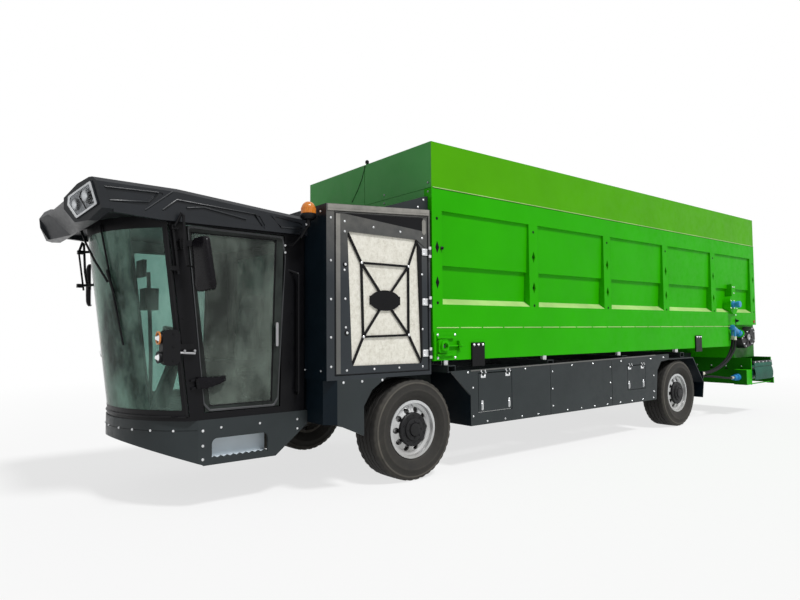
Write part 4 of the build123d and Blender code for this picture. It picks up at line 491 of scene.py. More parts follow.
class Pile:
    crease = 35              # degrees above which an edge is sharp
    stands_for = None        # CAD node that the piece replaces
    fill = None              # share of a padded piece that is filled
    twin_shift = (0, 0, 0)

    def __init__(self, name, look, body="wagon", twin=None):
        self.name, self.look, self.body, self.twin = name, look, body, twin
        self.mesh = bmesh.new()
        PILES.append(self)

    def skin(self, rings, closed=False):
        """Quads between rings of points, with end faces unless the rings close on themselves."""
        rows = [[self.mesh.verts.new(point) for point in ring] for ring in rings]
        following_rows = rows[1:] + rows[:1] if closed else rows[1:]
        for row, following in zip(rows, following_rows):
            for index in range(len(row)):
                self.mesh.faces.new(
                    (row[index - 1], row[index], following[index], following[index - 1])
                )
        if not closed:
            self.mesh.faces.new(rows[0])
            self.mesh.faces.new(rows[-1])
        return rows

    def prism(self, outline, push):
        self.skin([[Vector(point) for point in outline],
                   [Vector(point) + Vector(push) for point in outline]])

    def sheet(self, x, thick, *outline):
        """Flat shape on a side wall, over pairs of station and height."""
        self.prism([at(x, *point) for point in outline], (thick, 0, 0))

    def box(self, low, high):
        """Box between two corners given by x, station and height."""
        (x0, y0, z0), (x1, y1, z1) = low, high
        corners = ((x0, y0), (x1, y0), (x1, y1), (x0, y1))
        self.prism([at(x, y, z0) for x, y in corners], (0, 0, z1 - z0))

    def plate(self, x, station, z, width, height, thick, corner=0.006):
        """Plate with cut corners on a side wall, its middle at a station and height."""
        half, tall = width / 2, height / 2
        outline = [
            (half - corner, -tall), (half, corner - tall), (half, tall - corner),
            (half - corner, tall), (corner - half, tall), (-half, tall - corner),
            (-half, corner - tall), (corner - half, -tall),
        ]
        self.sheet(x, thick, *((station + a, z + b) for a, b in outline))

    def rod(self, start, end, radius, tip=None, sides=12):
        start, end = Vector(start), Vector(end)
        axis = end - start
        self.skin([circle(start, axis, radius, sides),
                   circle(end, axis, radius if tip is None else tip, sides)])

    def pipe(self, points, radius, sides=8):
        points = [Vector(point) for point in points]
        rings = []
        for index, point in enumerate(points):
            before = points[max(0, index - 1)]
            after = points[min(len(points) - 1, index + 1)]
            rings.append(circle(point, after - before, radius, sides))
        self.skin(rings)

    def run(self, radius, *places):
        """Pipe through places given by x, station and height."""
        self.pipe([at(*place) for place in places], radius)

    def turned(self, centre, axis, profile, sides=32, closed=False):
        """Turned solid over (along, radius) pairs, a ring when its profile is closed."""
        centre, axis = Vector(centre), Vector(axis).normalized()
        self.skin(
            [circle(centre + axis * along, axis, radius, sides) for along, radius in profile],
            closed,
        )

    def bolt(self, place, normal, size=0.01):
        """Washer under a hexagon head with a bevelled top."""
        place, normal = Vector(place), Vector(normal).normalized()
        top = place + normal * size
        self.rod(place, place + normal * size * 0.3, size * 1.45, sides=14)
        self.rod(place + normal * size * 0.3, top, size, sides=6)
        self.rod(top, top + normal * size * 0.18, size, size * 0.78, 6)

    def bolts(self, size, *places, x=WALL_X):
        """Bolts that face left at pairs of station and height."""
        for place in places:
            self.bolt(at(x, *place), LEFT, size)

    def done(self):
        """Puts the piece on its body, and a mirrored one on the twin body."""
        bmesh.ops.recalc_face_normals(self.mesh, faces=self.mesh.faces)
        self.place(self.name, self.body)
        if self.twin:
            bmesh.ops.scale(self.mesh, vec=(-1, 1, 1), verts=self.mesh.verts)
            bmesh.ops.reverse_faces(self.mesh, faces=self.mesh.faces)
            bmesh.ops.translate(self.mesh, vec=self.twin_shift, verts=self.mesh.verts)
            self.place(self.name + "_right", self.twin)
        self.mesh.free()

    def place(self, name, body):
        data = bpy.data.meshes.new(name)
        self.mesh.to_mesh(data)
        data.polygons.foreach_set("use_smooth", [True] * len(data.polygons))
        data.set_sharp_from_angle(angle=radians(self.crease))
        data.materials.append(self.look)
        piece = add_object(name, data)
        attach(piece, body)
        if self.stands_for:
            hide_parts(self.stands_for)


def pair(name, look, body="wagon"):
    """Pile with a mirrored twin on the right."""
    return Pile(name, look, body, body.replace("left", "right"))


# Hoses between the two lower motors and the plate behind the mudguard
HOSES = (  # name, radius, length, route's points: x, distance behind the front axle, z
    ("supply_hose", 0.022, 1.45, (
        (1.31, 7.56, 1.44), (1.31, 7.56, 1.3), (1.3, 7.462, 1.12),
        (1.284, 7.29, 0.985), (1.264, 7.075, 0.89), (1.24, 6.83, 0.828),
        (1.22, 6.6, 0.806), (1.22, 6.412, 0.806),
    )),
    ("return_hose", 0.022, 1.42, (
        (1.37, 7.53, 1.43), (1.37, 7.53, 1.27), (1.358, 7.43, 1.11),
        (1.342, 7.255, 0.99), (1.322, 7.04, 0.895), (1.3, 6.8, 0.83),
        (1.282, 6.59, 0.808), (1.282, 6.412, 0.808),
    )),
    ("conveyor_hose", 0.018, 1.01, (
        (1.367, 7.41, 0.69), (1.367, 7.27, 0.69), (1.357, 7.075, 0.706),
        (1.332, 6.87, 0.731), (1.29, 6.66, 0.751), (1.252, 6.53, 0.757),
        (1.252, 6.412, 0.757),
    )),
)
ferrules = Pile("hose_ferrules", CREAM)
for name, radius, length, route in HOSES:
    curve = bpy.data.curves.new(name + "_line", "CURVE")
    curve.dimensions = "3D"
    curve.bevel_depth = radius
    curve.bevel_resolution = 5
    curve.resolution_u = 16
    spline = curve.splines.new("NURBS")
    spline.points.add(len(route) - 1)
    for point, place in zip(spline.points, route):
        point.co = (*at(*place), 1)
    spline.order_u = 3
    spline.use_endpoint_u = True
    curve.materials.append(RUBBER)
    hose = add_object(name + "_line", curve)
    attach(hose, "wagon")
    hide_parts(name)
    for end, following in ((route[0], route[1]), (route[-1], route[-2])):
        start = at(*end)
        along = (at(*following) - start).normalized()
        ferrules.turned(start, along, [
            (0, radius + 0.004), (0.045, radius + 0.004), (0.05, radius + 0.007),
            (0.062, radius + 0.007), (0.068, radius + 0.002),
        ], 20)

# Tyres: grooved tread, ribbed shoulders and ringed sidewalls
TREAD = [  # outwards from the middle plane, radius
    (groove + offset, 0.5355 - 0.1 * groove * groove - depth)
    for groove in (-0.094, -0.032, 0.032, 0.094)
    for offset, depth in ((-0.008, 0), (-0.004, 0.012), (0.004, 0.012), (0.008, 0))
]
SIDE = (  # outwards from the middle plane, radius, dust
    (0.136, 0.293, 0.2), (0.14, 0.311, 0.2), (0.152, 0.322, 0.5), (0.156, 0.33, 0.3),
    (0.17, 0.35, 0.25), (0.184, 0.382, 0.3), (0.1905, 0.405, 0.3), (0.1935, 0.41, 0.5),
    (0.1935, 0.422, 0.5), (0.1905, 0.428, 0.3), (0.1865, 0.455, 0.3), (0.1815, 0.48, 0.35),
    (0.1835, 0.485, 1.5), (0.1805, 0.496, 1.6), (0.1765, 0.5, 0.5), (0.17, 0.518, 0.7),
    (0.16, 0.529, 0.5), (0.15, 0.533, 0.25),
)
TYRE_STEPS = 120


def tyre(node, centre):
    tread = Pile(node + "_tread", TYRE, node.replace("tyre", "wheel"))
    tread.crease = 40
    tread.stands_for = node
    dust_layer = tread.mesh.verts.layers.float_color.new("dust")
    profiles, rings = [], []
    for step, turn in enumerate(turns(TYRE_STEPS)):
        zigzag = 0.004 if step % 4 < 2 else -0.004
        notch = 0.007 if step % 3 == 0 else 0
        wall = [(a, r - (notch if r > 0.515 else 0), dust) for a, r, dust in SIDE]
        profile = [(-a, r, dust) for a, r, dust in wall]
        profile += [(a + zigzag, r, 0.12 if r > 0.53 else 0.5) for a, r in TREAD]
        profile += wall[::-1]
        profiles.append(profile)
        rings.append([centre + around(a, r, turn) for a, r, _ in profile])
    for row, profile in zip(tread.skin(rings, closed=True), profiles):
        for vertex, (_, _, dust) in zip(row, profile):
            vertex[dust_layer] = (dust, dust, dust, 1)


# Wheels: black hubs, nuts, hub bolts and valves
NUT_CIRCLE, CAP_CIRCLE = 0.143, 0.09
for axle, axle_y in (("front", FRONT_AXLE_Y), ("rear", REAR_AXLE_Y)):
    for side_name, side in (("left", 1), ("right", -1)):
        hub = Vector((side * WHEEL_X, axle_y, TYRE_RADIUS))
        tyre(f"tyre_{axle}_{side_name}", hub)
        body = f"wheel_{axle}_{side_name}"
        repaint(body, CAST, lambda centre, _: (
            hypot(centre.y - hub.y, centre.z - hub.z) < 0.168 and side * (centre.x - hub.x) > 0.05
        ))
        repaint(body, AXLE, lambda centre, _: side * (centre.x - hub.x) < 0.05)
        outward = LEFT * side
        nuts = Pile(body + "_nuts", STEEL, body)
        for turn in turns(10, 0.5):
            spot = hub + around(side * 0.128, NUT_CIRCLE, turn)
            nuts.bolt(spot, outward, 0.015)
            nuts.rod(spot, spot + outward * 0.03, 0.008, 0.007, 10)
        valve = hub + outward * 0.118 + UP * 0.258
        nuts.rod(valve, valve + outward * 0.032 - UP * 0.018, 0.006)
        cap = Pile(body + "_cap", CAST, body)
        for turn in turns(8):
            cap.bolt(hub + around(side * 0.175, CAP_CIRCLE, turn), outward, 0.007)
        cap.turned(hub, outward, [
            (0.1, 0.18), (0.15, 0.178), (0.158, 0.17), (0.158, 0.12), (0.172, 0.116),
            (0.176, 0.108), (0.176, 0.07), (0.188, 0.066), (0.191, 0.058), (0.191, 0.02),
        ], 40)
        cap.turned(
            hub, outward, [(0.128, 0.158), (0.133, 0.158), (0.136, 0.155), (0.136, 0.13)], 36
        )

# Engine doors: perforated panel behind black bars, locks, bolts and hinge leaves
DOOR = "engine_door_left"
BARS_X = 1.289               # the bars stand outside this, the sheet inside it
LOCKS = ((-0.896, 2.235), (-0.879, 1.565))


def in_panel(centre):
    station = centre.y - FRONT_AXLE_Y
    return -0.87 < station < 0.085 and 1.236 < centre.z < 2.562


for door in (DOOR, "engine_door_right"):
    repaint(door, BLACK, lambda centre, _: in_panel(centre) and abs(centre.x) > BARS_X)
    repaint(door, PERFORATED, lambda centre, normal: (
        in_panel(centre) and abs(normal.x) > 0.9 and abs(centre.x) < BARS_X
    ))
zinc = pair("door_fasteners", ZINC, DOOR)
zinc.bolts(
    0.008, (-0.88, 1.2), (-0.549, 1.2), (-0.228, 1.2), (0.093, 1.2), (-0.904, 2.181),
    (-0.89, 1.619), (-0.895, 1.898), (0.096, 2.186), (0.096, 1.597), (0.1, 2.58), (-0.2, 2.62),
    (-0.55, 2.635), (-0.9, 2.66), (-0.9, 2.56),
)
for place in ((-0.678, 1.524), (-0.093, 1.536), (-0.091, 2.261), (-0.697, 2.264)):
    zinc.turned(at(WALL_X, *place), LEFT, [
        (0, 0.014), (0.004, 0.014), (0.008, 0.009), (0.009, 0.002),
    ], 14)
for z in (1.34, 1.89, 2.43):
    zinc.plate(WALL_X + 0.0005, 0.132, z, 0.078, 0.075, 0.0075)
    zinc.bolts(0.007, (0.12, z - 0.024), (0.12, z + 0.024), x=1.313)
locks = pair("door_locks", PLASTIC, DOOR)
for place in LOCKS:
    zinc.turned(
        at(WALL_X + 0.006, *place), LEFT, [(0, 0.013), (0.004, 0.013), (0.006, 0.009)], 18
    )
    locks.turned(at(WALL_X, *place), LEFT, [
        (0, 0.026), (0.005, 0.026), (0.0075, 0.022), (0.008, 0.01),
    ], 24)
seal = [(-1.012, 1.158), (0.175, 1.158), (0.175, 2.812), (-1.012, 2.737)]
inner_seal = [(-1.006, 1.164), (0.169, 1.164), (0.169, 2.806), (-1.006, 2.731)]
locks.skin([
    [at(WALL_X + proud, *point)
     for proud, point in ((-0.004, outer), (0.0012, outer), (0.0012, inner), (-0.004, inner))]
    for outer, inner in zip(seal, inner_seal)
], closed=True)
pair("door_top_shadow", BLACK, DOOR).sheet(
    WALL_X - 0.001, 0.002, (-0.9, 2.736), (0.113, 2.656), (0.113, 2.8)
)
# Edging strip and corner plate beside the door, in painted sunlit grey.
edging = pair("door_edging", SUNLIT_TRIM, DOOR)
edging.box((WALL_X - 0.002, -1.004, 1.17), (WALL_X + 0.006, -0.955, 2.728))
edging.plate(WALL_X, 0.125, 2.7, 0.05, 0.17, 0.005, 0.02)
# Cap strip along the housing's top in painted sunlit grey, with a thin painted highlight line on
# it.
strip = pair("housing_cap_strip", SUNLIT_TRIM)
strip.sheet(1.303, 0.009, (-1.1, 2.748), (0.2, 2.836), (0.2, 2.897), (-1.1, 2.812))
strip.sheet(1.311, 0.003, (-1.1, 2.77), (0.2, 2.857), (0.2, 2.864), (-1.1, 2.777))
housing = pair("housing_bolts", ZINC)
housing.bolts(0.008, *((-1.06, z) for z in (2.68, 2.265, 1.891, 1.524, 1.243)))
for x in (0.2, 0.55, 0.9, 1.2):
    for z in (1.2, 2.75):
        housing.bolt(at(x, -1.11, z), FORWARD, 0.008)

# Side skirts: bolts, joints, flap latches and hinge leaves
# Painted highlight along the top edge of the side skirts.
pair("skirt_rim_highlight", SUNLIT_TRIM).sheet(
    WALL_X - 0.004, 0.008, (0.815, 1.109), (4.86, 1.162), (4.86, 1.178), (0.815, 1.125)
)
skirt = pair("skirt_bolts", ZINC)
skirt.bolts(0.008, *((station, 0.524) for station in (
    1.082, 1.39, 1.695, 2.0, 2.609, 2.914, 3.22, 3.53, 3.86, 4.17, 4.47, 4.77,
)))
skirt.bolts(0.008, *((station, z) for station in (2.305, 3.62) for z in (0.6, 0.82, 1.04)))
skirt.bolts(
    0.0085, (0.771, 1.1), (1.77, 1.1), (2.72, 1.105), (3.2, 1.11), (3.9, 1.115),
    (4.72, 1.12), (5.1, 1.13), (0.85, 0.924), (0.85, 0.6), (4.8, 0.86), (4.8, 0.62),
)
for station, z in ((0.928, 1.415), (6.25, 1.435)):
    skirt.bolts(0.0105, (station - 0.07, z), (station, z), (station + 0.07, z), x=1.327)
skirt.bolts(0.009, (-0.45, 1.085), (-0.7, 1.085), (-0.92, 1.085))
joints = pair("skirt_joints", JOINT_AND_SHADE_BLACK)
for station in (2.262, 3.662):
    joints.box((1.303, station - 0.0025, 0.492), (1.3058, station + 0.0025, 1.13))
LEAF_X = WALL_X + 0.004
for body, latches, top_z, base_z in (
    ("service_flap_front", (0.998, 1.461), 1.09, 0.712),
    ("service_flap_rear", (4.1, 4.49), 1.045, 0.762),
):
    flap = Pile(body + "_latches", ZINC, body)
    for station in latches:
        flap.plate(WALL_X, station, base_z, 0.03, 0.112, 0.004)
        flap.plate(LEAF_X, station, base_z - 0.01, 0.016, 0.07, 0.009, 0.005)
        flap.bolts(0.005, (station, base_z - 0.046), (station, base_z + 0.046), x=LEAF_X)
    for station in (latches[0] + 0.02, latches[1] - 0.02):
        flap.plate(WALL_X, station, top_z - 0.04, 0.08, 0.044, 0.004)
        z = top_z - 0.042
        flap.bolts(0.006, (station - 0.024, z), (station + 0.024, z), x=LEAF_X)

# Hopper: post holes filled with painted shade, weld beads, seams with painted highlights and a
# painted shadow, joints of the extension, and bolts
POSTS = (0.32, 1.97, 3.61, 5.25, 6.89, 8.545)
# Dark fills in the posts' diamond and round holes and in the slot behind the last knob: painted
# shade.
holes = pair("post_holes", JOINT_AND_SHADE_BLACK)
for station in POSTS:
    first = station == POSTS[0]
    x, wide, tall, thick = (1.304, 0.028, 0.07, 0.0016) if first else (1.2755, 0.029, 0.074, 0.002)
    for z in (2.5, 2.11):
        holes.sheet(
            x, thick, (station, z - tall), (station + wide, z), (station, z + tall),
            (station - wide, z),
        )
    for z in (1.885, 2.82):
        holes.rod(at(1.304, station, z), at(1.3058, station, z), 0.017, sides=20)
holes.plate(1.304, 7.736, 1.7, 0.035, 0.125, 0.002, 0.015)
beads = pair("hopper_welds", GREEN)
for station in POSTS[1:5]:
    for edge in (-0.086, 0.086):
        beads.pipe([at(1.303, station + edge, z) for z in (1.88, 2.3, 2.7, 2.91)], 0.0035, 6)
# Light dashes along the weld line and a light line at the fold: painted highlights.
seam_highlights = pair("hopper_seam_highlights", PAINTED_HIGHLIGHT_GREEN)
for index in range(20):
    station = 0.3 + 0.365 * index
    seam_highlights.rod(at(WALL_X, station, 1.612), at(WALL_X, station + 0.335, 1.612), 0.006, sides=8)
seam_highlights.pipe([at(1.303, 0.26, SEAM_Z), at(1.303, 8.6, SEAM_Z)], 0.006, 6)
# Dark green strip just under the fold: painted shadow.
pair("hopper_seam_shadow", GREEN_JOINT_AND_SHADE).box(
    (1.3, 0.26, SEAM_Z - 0.013), (1.3062, 8.6, SEAM_Z - 0.006)
)
# Dark joint and fold lines on the front board.
board = Pile("front_board_joint", GREEN_JOINT_AND_SHADE)
board.box((0.037, 0.2438, 3.17), (0.043, 0.2462, 3.67))
board.box((-1.29, 0.2438, 3.158), (1.29, 0.2462, 3.163))
rim = pair("hopper_bolts", ZINC)
for x in (-1.25, -0.45, 0.45, 1.25):
    for z in (3.12, 3.22):
        rim.bolt(at(x, 0.245, z), FORWARD, 0.009)
rim.bolts(0.01, (0.3, 1.28), (0.3, 1.535), (0.56, 1.28), (0.56, 1.535), x=1.319)
idler = pair("idler_bearing", GREEN)
idler.turned(at(WALL_X, 0.358, 1.41), LEFT, [
    (0.03, 0.056), (0.078, 0.056), (0.082, 0.05), (0.082, 0.036), (0.03, 0.036),
], 32, True)
IDLER_BOLT_X = WALL_X + 0.034
idler.rod(at(IDLER_BOLT_X, 0.6, 1.41), at(IDLER_BOLT_X, 0.665, 1.41), 0.0115, 0.0105, 14)
for station in (0.588, 0.62):
    idler.turned(at(IDLER_BOLT_X, station, 1.41), -FORWARD, [(0, 0.021), (0.016, 0.021)], 6)
knobs = Pile("post_knobs", PLASTIC)
knobs.turned(at(WALL_X, 0.386, 2.493), LEFT, [
    (0, 0.02), (0.012, 0.02), (0.018, 0.012), (0.026, 0.012),
], 18)
knobs.turned(at(0.073, 0.262, 3.66), UP, [
    (0, 0.014), (0.03, 0.014), (0.034, 0.024), (0.062, 0.024), (0.074, 0.012),
], 20)
knobs.run(
    0.004, (0.073, 0.262, 3.67), (0.06, 0.243, 3.66), (-0.02, 0.242, 3.5), (-0.12, 0.242, 3.37),
    (-0.24, 0.242, 3.25),
)
knobs.turned(at(WALL_X, 7.736, 1.715), LEFT, [
    (0, 0.026), (0.03, 0.024), (0.045, 0.014), (0.06, 0.012),
], 18)

# Deck hood and cab skirt: bolts and the fold above the skirt's hem
SKIRT_ARC = (CAB_HALF ** 2 + 0.52 ** 2) / (2 * 0.52)
FOLD_Z = 0.712


def skirt_front(x):
    """Point at the fold on the bowed front of the cab's skirt, with its outward normal."""
    along = Vector((x, -sqrt(SKIRT_ARC ** 2 - x * x), 0)).normalized()
    return at(0, -2.71 + SKIRT_ARC, FOLD_Z) + along * SKIRT_ARC, along


hem = Pile("cab_skirt_bolts", ZINC)
for x in (-0.8, -0.61, -0.43, -0.24, 0, 0.24, 0.43, 0.61, 0.775):
    hem.bolt(*skirt_front(x), 0.0075)
for side in (1, -1):
    for x, size, *places in (
        (CAB_HALF, 0.0085, (-2.15, 0.705), (-2.15, 0.572), (-2.15, 0.452)),
        (CAB_HALF, 0.0075, (-1.2, 0.72), (-1.2, 0.63), (-1.98, 0.72), (-1.6, 0.72)),
        (1.24, 0.0085, (0.1, 2.93), (0.18, 3.02)),
    ):
        for place in places:
            hem.bolt(at(side * x, *place), LEFT * side, size)
pair("cab_step_back", AXLE).box((0.772, -2.08, 0.45), (0.78, -1.38, 0.8))
fold = [skirt_front(-0.9 + 1.8 * index / 40)[0] for index in range(41)]
# Dark line along the skirt's fold: painted shade in the crease.
Pile("cab_skirt_fold", JOINT_AND_SHADE_BLACK).pipe(fold, 0.002, 6)

# Cab glass: printed bands, seals and wipers
SCREEN_ARC = (0.885 ** 2 + 0.416 ** 2) / (2 * 0.416)


def screen(x, z, proud=0):
    """Point on the outer face of the bowed windscreen, which leans forward with height."""
    rise = (z - 0.84) / (2.613 - 0.84)
    station = -2.695 + SCREEN_ARC - 0.211 * rise - sqrt((SCREEN_ARC + proud) ** 2 - x * x)
    return at(x, station, z)


SCREEN_STEPS = [-0.883 + 1.766 * index / 36 for index in range(37)]
bands = Pile("screen_bands", PLASTIC)
for low_z, high_z in ((0.842, 0.895), (2.5, 2.61)):
    bands.skin([
        [screen(x, z, proud) for z, proud in (
            (low_z, 0.0002), (high_z, 0.0002), (high_z, 0.002), (low_z, 0.002),
        )]
        for x in SCREEN_STEPS
    ])
for low_x, high_x in ((-0.883, -0.858), (0.858, 0.883)):
    bands.skin([
        [screen(x, z, proud) for x, proud in (
            (low_x, 0.0002), (high_x, 0.0002), (high_x, 0.0022), (low_x, 0.0022),
        )]
        for z in (0.895, 1.4, 1.9, 2.5)
    ])
for side in (-1, 1):
    bands.pipe([screen(side * 0.888, z, 0.004) for z in (0.842, 1.3, 1.8, 2.3, 2.608)], 0.011)
bands.pipe([screen(x, 0.838, 0.004) for x in SCREEN_STEPS], 0.011)
PANE_EDGE = [(-2.09, 0.915), (-1.47, 0.915), (-1.425, 2.48), (-2.275, 2.48)]
PANE_INNER = [(-2.08, 0.925), (-1.48, 0.925), (-1.437, 2.47), (-2.263, 2.47)]
for name, body, side in (("door_seal", "cab_door", 1), ("side_window_seal", "wagon", -1)):
    Pile(name, RUBBER, body).skin([
        [at(side * x, *point)
         for x, point in ((0.8802, outer), (0.884, outer), (0.8825, inner), (0.8802, inner))]
        for outer, inner in zip(rounded(PANE_EDGE, 0.012), rounded(PANE_INNER, 0.03))
    ], closed=True)
HANDLE_Y = FRONT_AXLE_Y - 1.438
repaint("cab_door", TINTED, lambda centre, normal: normal.x > 0.9 and centre.x < 0.91)
repaint("cab_door", STEEL, lambda centre, _: (
    centre.x > 0.921 and abs(centre.y - HANDLE_Y) < 0.06 and 1.43 < centre.z < 1.7
))
DOOR_EDGE = [
    (-2.142, 0.935), (-2.086, 0.872), (-1.449, 0.869), (-1.406, 0.934), (-1.327, 2.309),
    (-1.354, 2.519), (-2.304, 2.534),
]
door_edge = shells(
    rounded(DOOR_EDGE, 0.03), Vector((-1.78, 1.7)),
    ((1, 0.894), (1, 0.9005), (0.985, 0.9005), (0.975, 0.894)), side_point,
)
Pile("door_rubber", EDGE, "cab_door").skin(zip(*door_edge), closed=True)
COVER_EDGE = [
    (-2.213, 1.185), (-1.988, 1.179), (-1.949, 1.143), (-1.987, 1.118), (-2.12, 1.077),
    (-2.212, 1.083),
]
Pile("door_hinge_cover", GLOSS, "cab_door").skin(shells(
    rounded(COVER_EDGE, 0.01), Vector((-2.09, 1.135)),
    ((1, 0.9), (1, 0.925), (0.93, 0.938), (0.6, 0.944)), side_point,
))
wiper = Pile("wiper", PLASTIC)
arm = [(-0.11, 2.6, 0.07), (0.05, 2.42, 0.065), (0.2, 2.24, 0.055), (0.343, 2.044, 0.035)]
wiper.pipe([screen(*place) for place in arm], 0.011)
blade = [(0.287 + 0.139 * index / 14, 2.565 - 1.092 * index / 14) for index in range(15)]
wiper.pipe([screen(x, z, 0.014) for x, z in blade], 0.01, 6)
wiper.rod(screen(-0.11, 2.6, 0.08), screen(-0.11, 2.6), 0.03, sides=16)
wiper.pipe([screen(0.343 + 0.02 * index, 2.15 - 0.07 * index, 0.03) for index in range(4)], 0.013)

# Cab inside: monitor and switch box on a pole, console, steering rim, floor mat and seat
cabin = Pile("cab_console", PLASTIC)
cabin.run(0.018, (0.45, -2.47, 0.84), (0.45, -2.47, 1.4), (0.45, -2.5, 2.14))
cabin.box((0.35, -2.58, 2.09), (0.55, -2.545, 2.245))
cabin.box((0.33, -2.54, 1.79), (0.5, -2.42, 1.99))
cabin.box((0.29, -1.95, 1.22), (0.42, -1.42, 1.3))
cabin.box((0.31, -1.9, 0.84), (0.4, -1.6, 1.22))
cabin.run(0.02, (0.355, -1.85, 1.3), (0.355, -1.86, 1.38), (0.355, -1.87, 1.44))
cabin.run(0.03, (-0.84, -1.16, 1.38), (0.84, -1.16, 1.38))
tilt = around(0, 1, radians(65))
Pile("steering_rim", PLASTIC).turned(at(0, -2.03, 1.54) + tilt * 0.012, tilt, [
    (0.019 * sin(turn), 0.186 + 0.019 * cos(turn)) for turn in turns(10)
], 40, True)
Pile("monitor_face", LCD).box((0.36, -2.545, 2.1), (0.54, -2.5435, 2.235))
mat = Pile("floor_mat", RUBBER)
mat.box((-0.82, -2.2, 0.8405), (0.82, -1.2, 0.848))
for index in range(12):
    mat.box((-0.8, -2.18 + 0.08 * index, 0.848), (0.8, -2.15 + 0.08 * index, 0.851))


def pad(name, start, end, width, thick, channels):
    """Cushion swept from start to end: crowned, with drawn-in ends and sewn channels."""
    outward = (end - start).normalized().cross(LEFT).normalized()
    rings = []
    for step in range(41):
        share = step / 40
        swell = max(0.08, 1 - abs(2 * share - 1) ** 7) ** 0.5
        drawn = sum(exp(-((share - seam) / 0.018) ** 2) for seam in channels)
        ring = []
        for turn in turns(32):
            wide = copysign(abs(cos(turn)) ** 0.45, cos(turn))
            tall = copysign(abs(sin(turn)) ** 0.7, sin(turn))
            crown = 1 - 0.16 * abs(wide) ** 3 - 0.14 * drawn
            ring.append(
                start.lerp(end, share) + LEFT * wide * width / 2 * (0.9 + 0.1 * swell)
                + outward * tall * thick / 2 * swell * crown
            )
        rings.append(ring)
    cushion = Pile(name, FABRIC)
    cushion.stands_for = "seat"
    cushion.fill = 0.75
    cushion.skin(rings)


springs = Pile("seat_suspension", PLASTIC)
springs.stands_for = "seat"
for index in range(7):
    for lift, wide, deep, thick in ((0, 0.15, 0.16, 0.02), (0.02, 0.13, 0.14, 0.027)):
        fold_edge = rounded([(-wide, -deep), (wide, -deep), (wide, deep), (-wide, deep)], 0.03)
        z = 0.84 + 0.047 * index + lift
        springs.prism([at(p.x, -1.56 + p.y, z) for p in fold_edge], (0, 0, thick))
for x in (-0.235, 0.235):
    springs.box((x - 0.02, -1.44, 1.36), (x + 0.02, -1.2, 1.4))
pad("seat_cushion", at(0, -1.83, 1.23), at(0, -1.33, 1.23), 0.5, 0.13, (0.3, 0.62))
pad("seat_back", at(0, -1.345, 1.26), at(0, -1.255, 1.98), 0.48, 0.11, (0.28, 0.55, 0.8))

# Roof: raised ribs on its sides
ribs = pair("roof_ribs", ROOF)
for route in (
    ((-2.68, 2.619), (-2.451, 2.807)),
    ((-2.536, 2.636), (-2.415, 2.74), (-1.685, 2.696), (-1.579, 2.571)),
    ((-2.325, 2.679), (-2.178, 2.702), (-1.767, 2.639)),
    ((-1.515, 2.706), (-1.406, 2.597), (-1.156, 2.602)),
    ((-3.002, 2.775), (-2.57, 2.782), (-2.655, 2.692), (-2.96, 2.668)),
):
    ribs.pipe([at(0.949, *point) for point in route], 0.008)

# Roof lamps: dishes behind the slanting lenses
LAMP_X = Vector((0.876, 0.482, 0)).normalized()
LAMP_N = Vector((0.475, -0.863, -0.17)).normalized()
LAMP_Y = LAMP_N.cross(LAMP_X)


def lamp_point(across, rise, proud):
    return at(0.93, -3.035, 2.62) + LAMP_X * across + LAMP_Y * rise + LAMP_N * proud


def lamp_back(_, normal):
    return abs(normal.x * LAMP_N.x) + normal.y * LAMP_N.y + normal.z * LAMP_N.z < 0.9


repaint("roof_lamps", FROSTED, lamp_back)
dishes = pair("lamp_dishes", REFLECTOR)
for across, rise, radius in ((-0.115, 0.085, 0.062), (-0.245, 0.025, 0.052)):
    dishes.turned(lamp_point(across, rise, 0.0008), LAMP_N, [
        (0, radius), (0.007, radius), (0.007, radius - 0.005), (0.0035, radius * 0.6),
        (0.0015, radius * 0.2), (0, radius * 0.1),
    ], 32)
louvres = pair("lamp_louvres", PLASTIC)
for z in (0.03, 0.06, 0.09, 0.12):
    louvres.pipe([lamp_point(-0.055, z, 0.006), lamp_point(-0.1, z - 0.01, 0.006)], 0.005, 6)
bracket = ((-0.14, -0.02), (-0.2, 0.085), (-0.17, 0.13))
louvres.pipe([lamp_point(*point, 0.006) for point in bracket], 0.004, 6)
LENS_EDGE = [(-0.008, 0.012), (-0.052, 0.205), (-0.325, 0.1), (-0.345, 0.032), (-0.262, -0.088)]
for name, look, layers in (
    ("lamp_bezels", ROOF, ((1.05, 0), (1.04, 0.011), (1, 0.0125), (0.99, 0.0088))),
    ("lamp_frames", FROSTED, ((0.99, 0), (0.99, 0.0095), (0.84, 0.0095), (0.82, 0))),
):
    rings = shells(rounded(LENS_EDGE, 0.016), Vector((-0.19, 0.05)), layers, lamp_point)
    pair(name, look).skin(zip(*rings), closed=True)

# Work lamps, mirrors and beacon
repaint("work_lamps", CHROME, lambda centre, _: centre.y < at(0, -2.5625, 0).y)
pair("work_lamp_rings", AMBER).turned(
    at(0.952, -2.556, 1.537), FORWARD, [(0, 0.044), (0, 0.057), (0.012, 0.057), (0.012, 0.044)], 32,
    True,
)
stay = pair("work_lamp_arms", STEEL)
stay.rod(at(0.93, -2.4, 1.408), at(0.93, -2.235, 1.396), 0.011)
stay.bolts(0.008, (-2.4, 1.42), (-2.33, 1.42), (-2.24, 1.42), x=0.938)
hoods = pair("work_lamp_hoods", PLASTIC)
hoods.turned(
    at(0.952, -2.556, 1.373), FORWARD, [(0, 0.0465), (0, 0.052), (0.01, 0.052), (0.01, 0.0465)], 32,
    True,
)
hoods.bolts(0.007, (-2.45, 1.46), (-2.45, 1.34), (-2.45, 1.57), x=1.005)
MIRROR_X = Vector((0.9653, 0.2614, 0))
MIRROR_N = Vector((0.2614, -0.9653, 0))


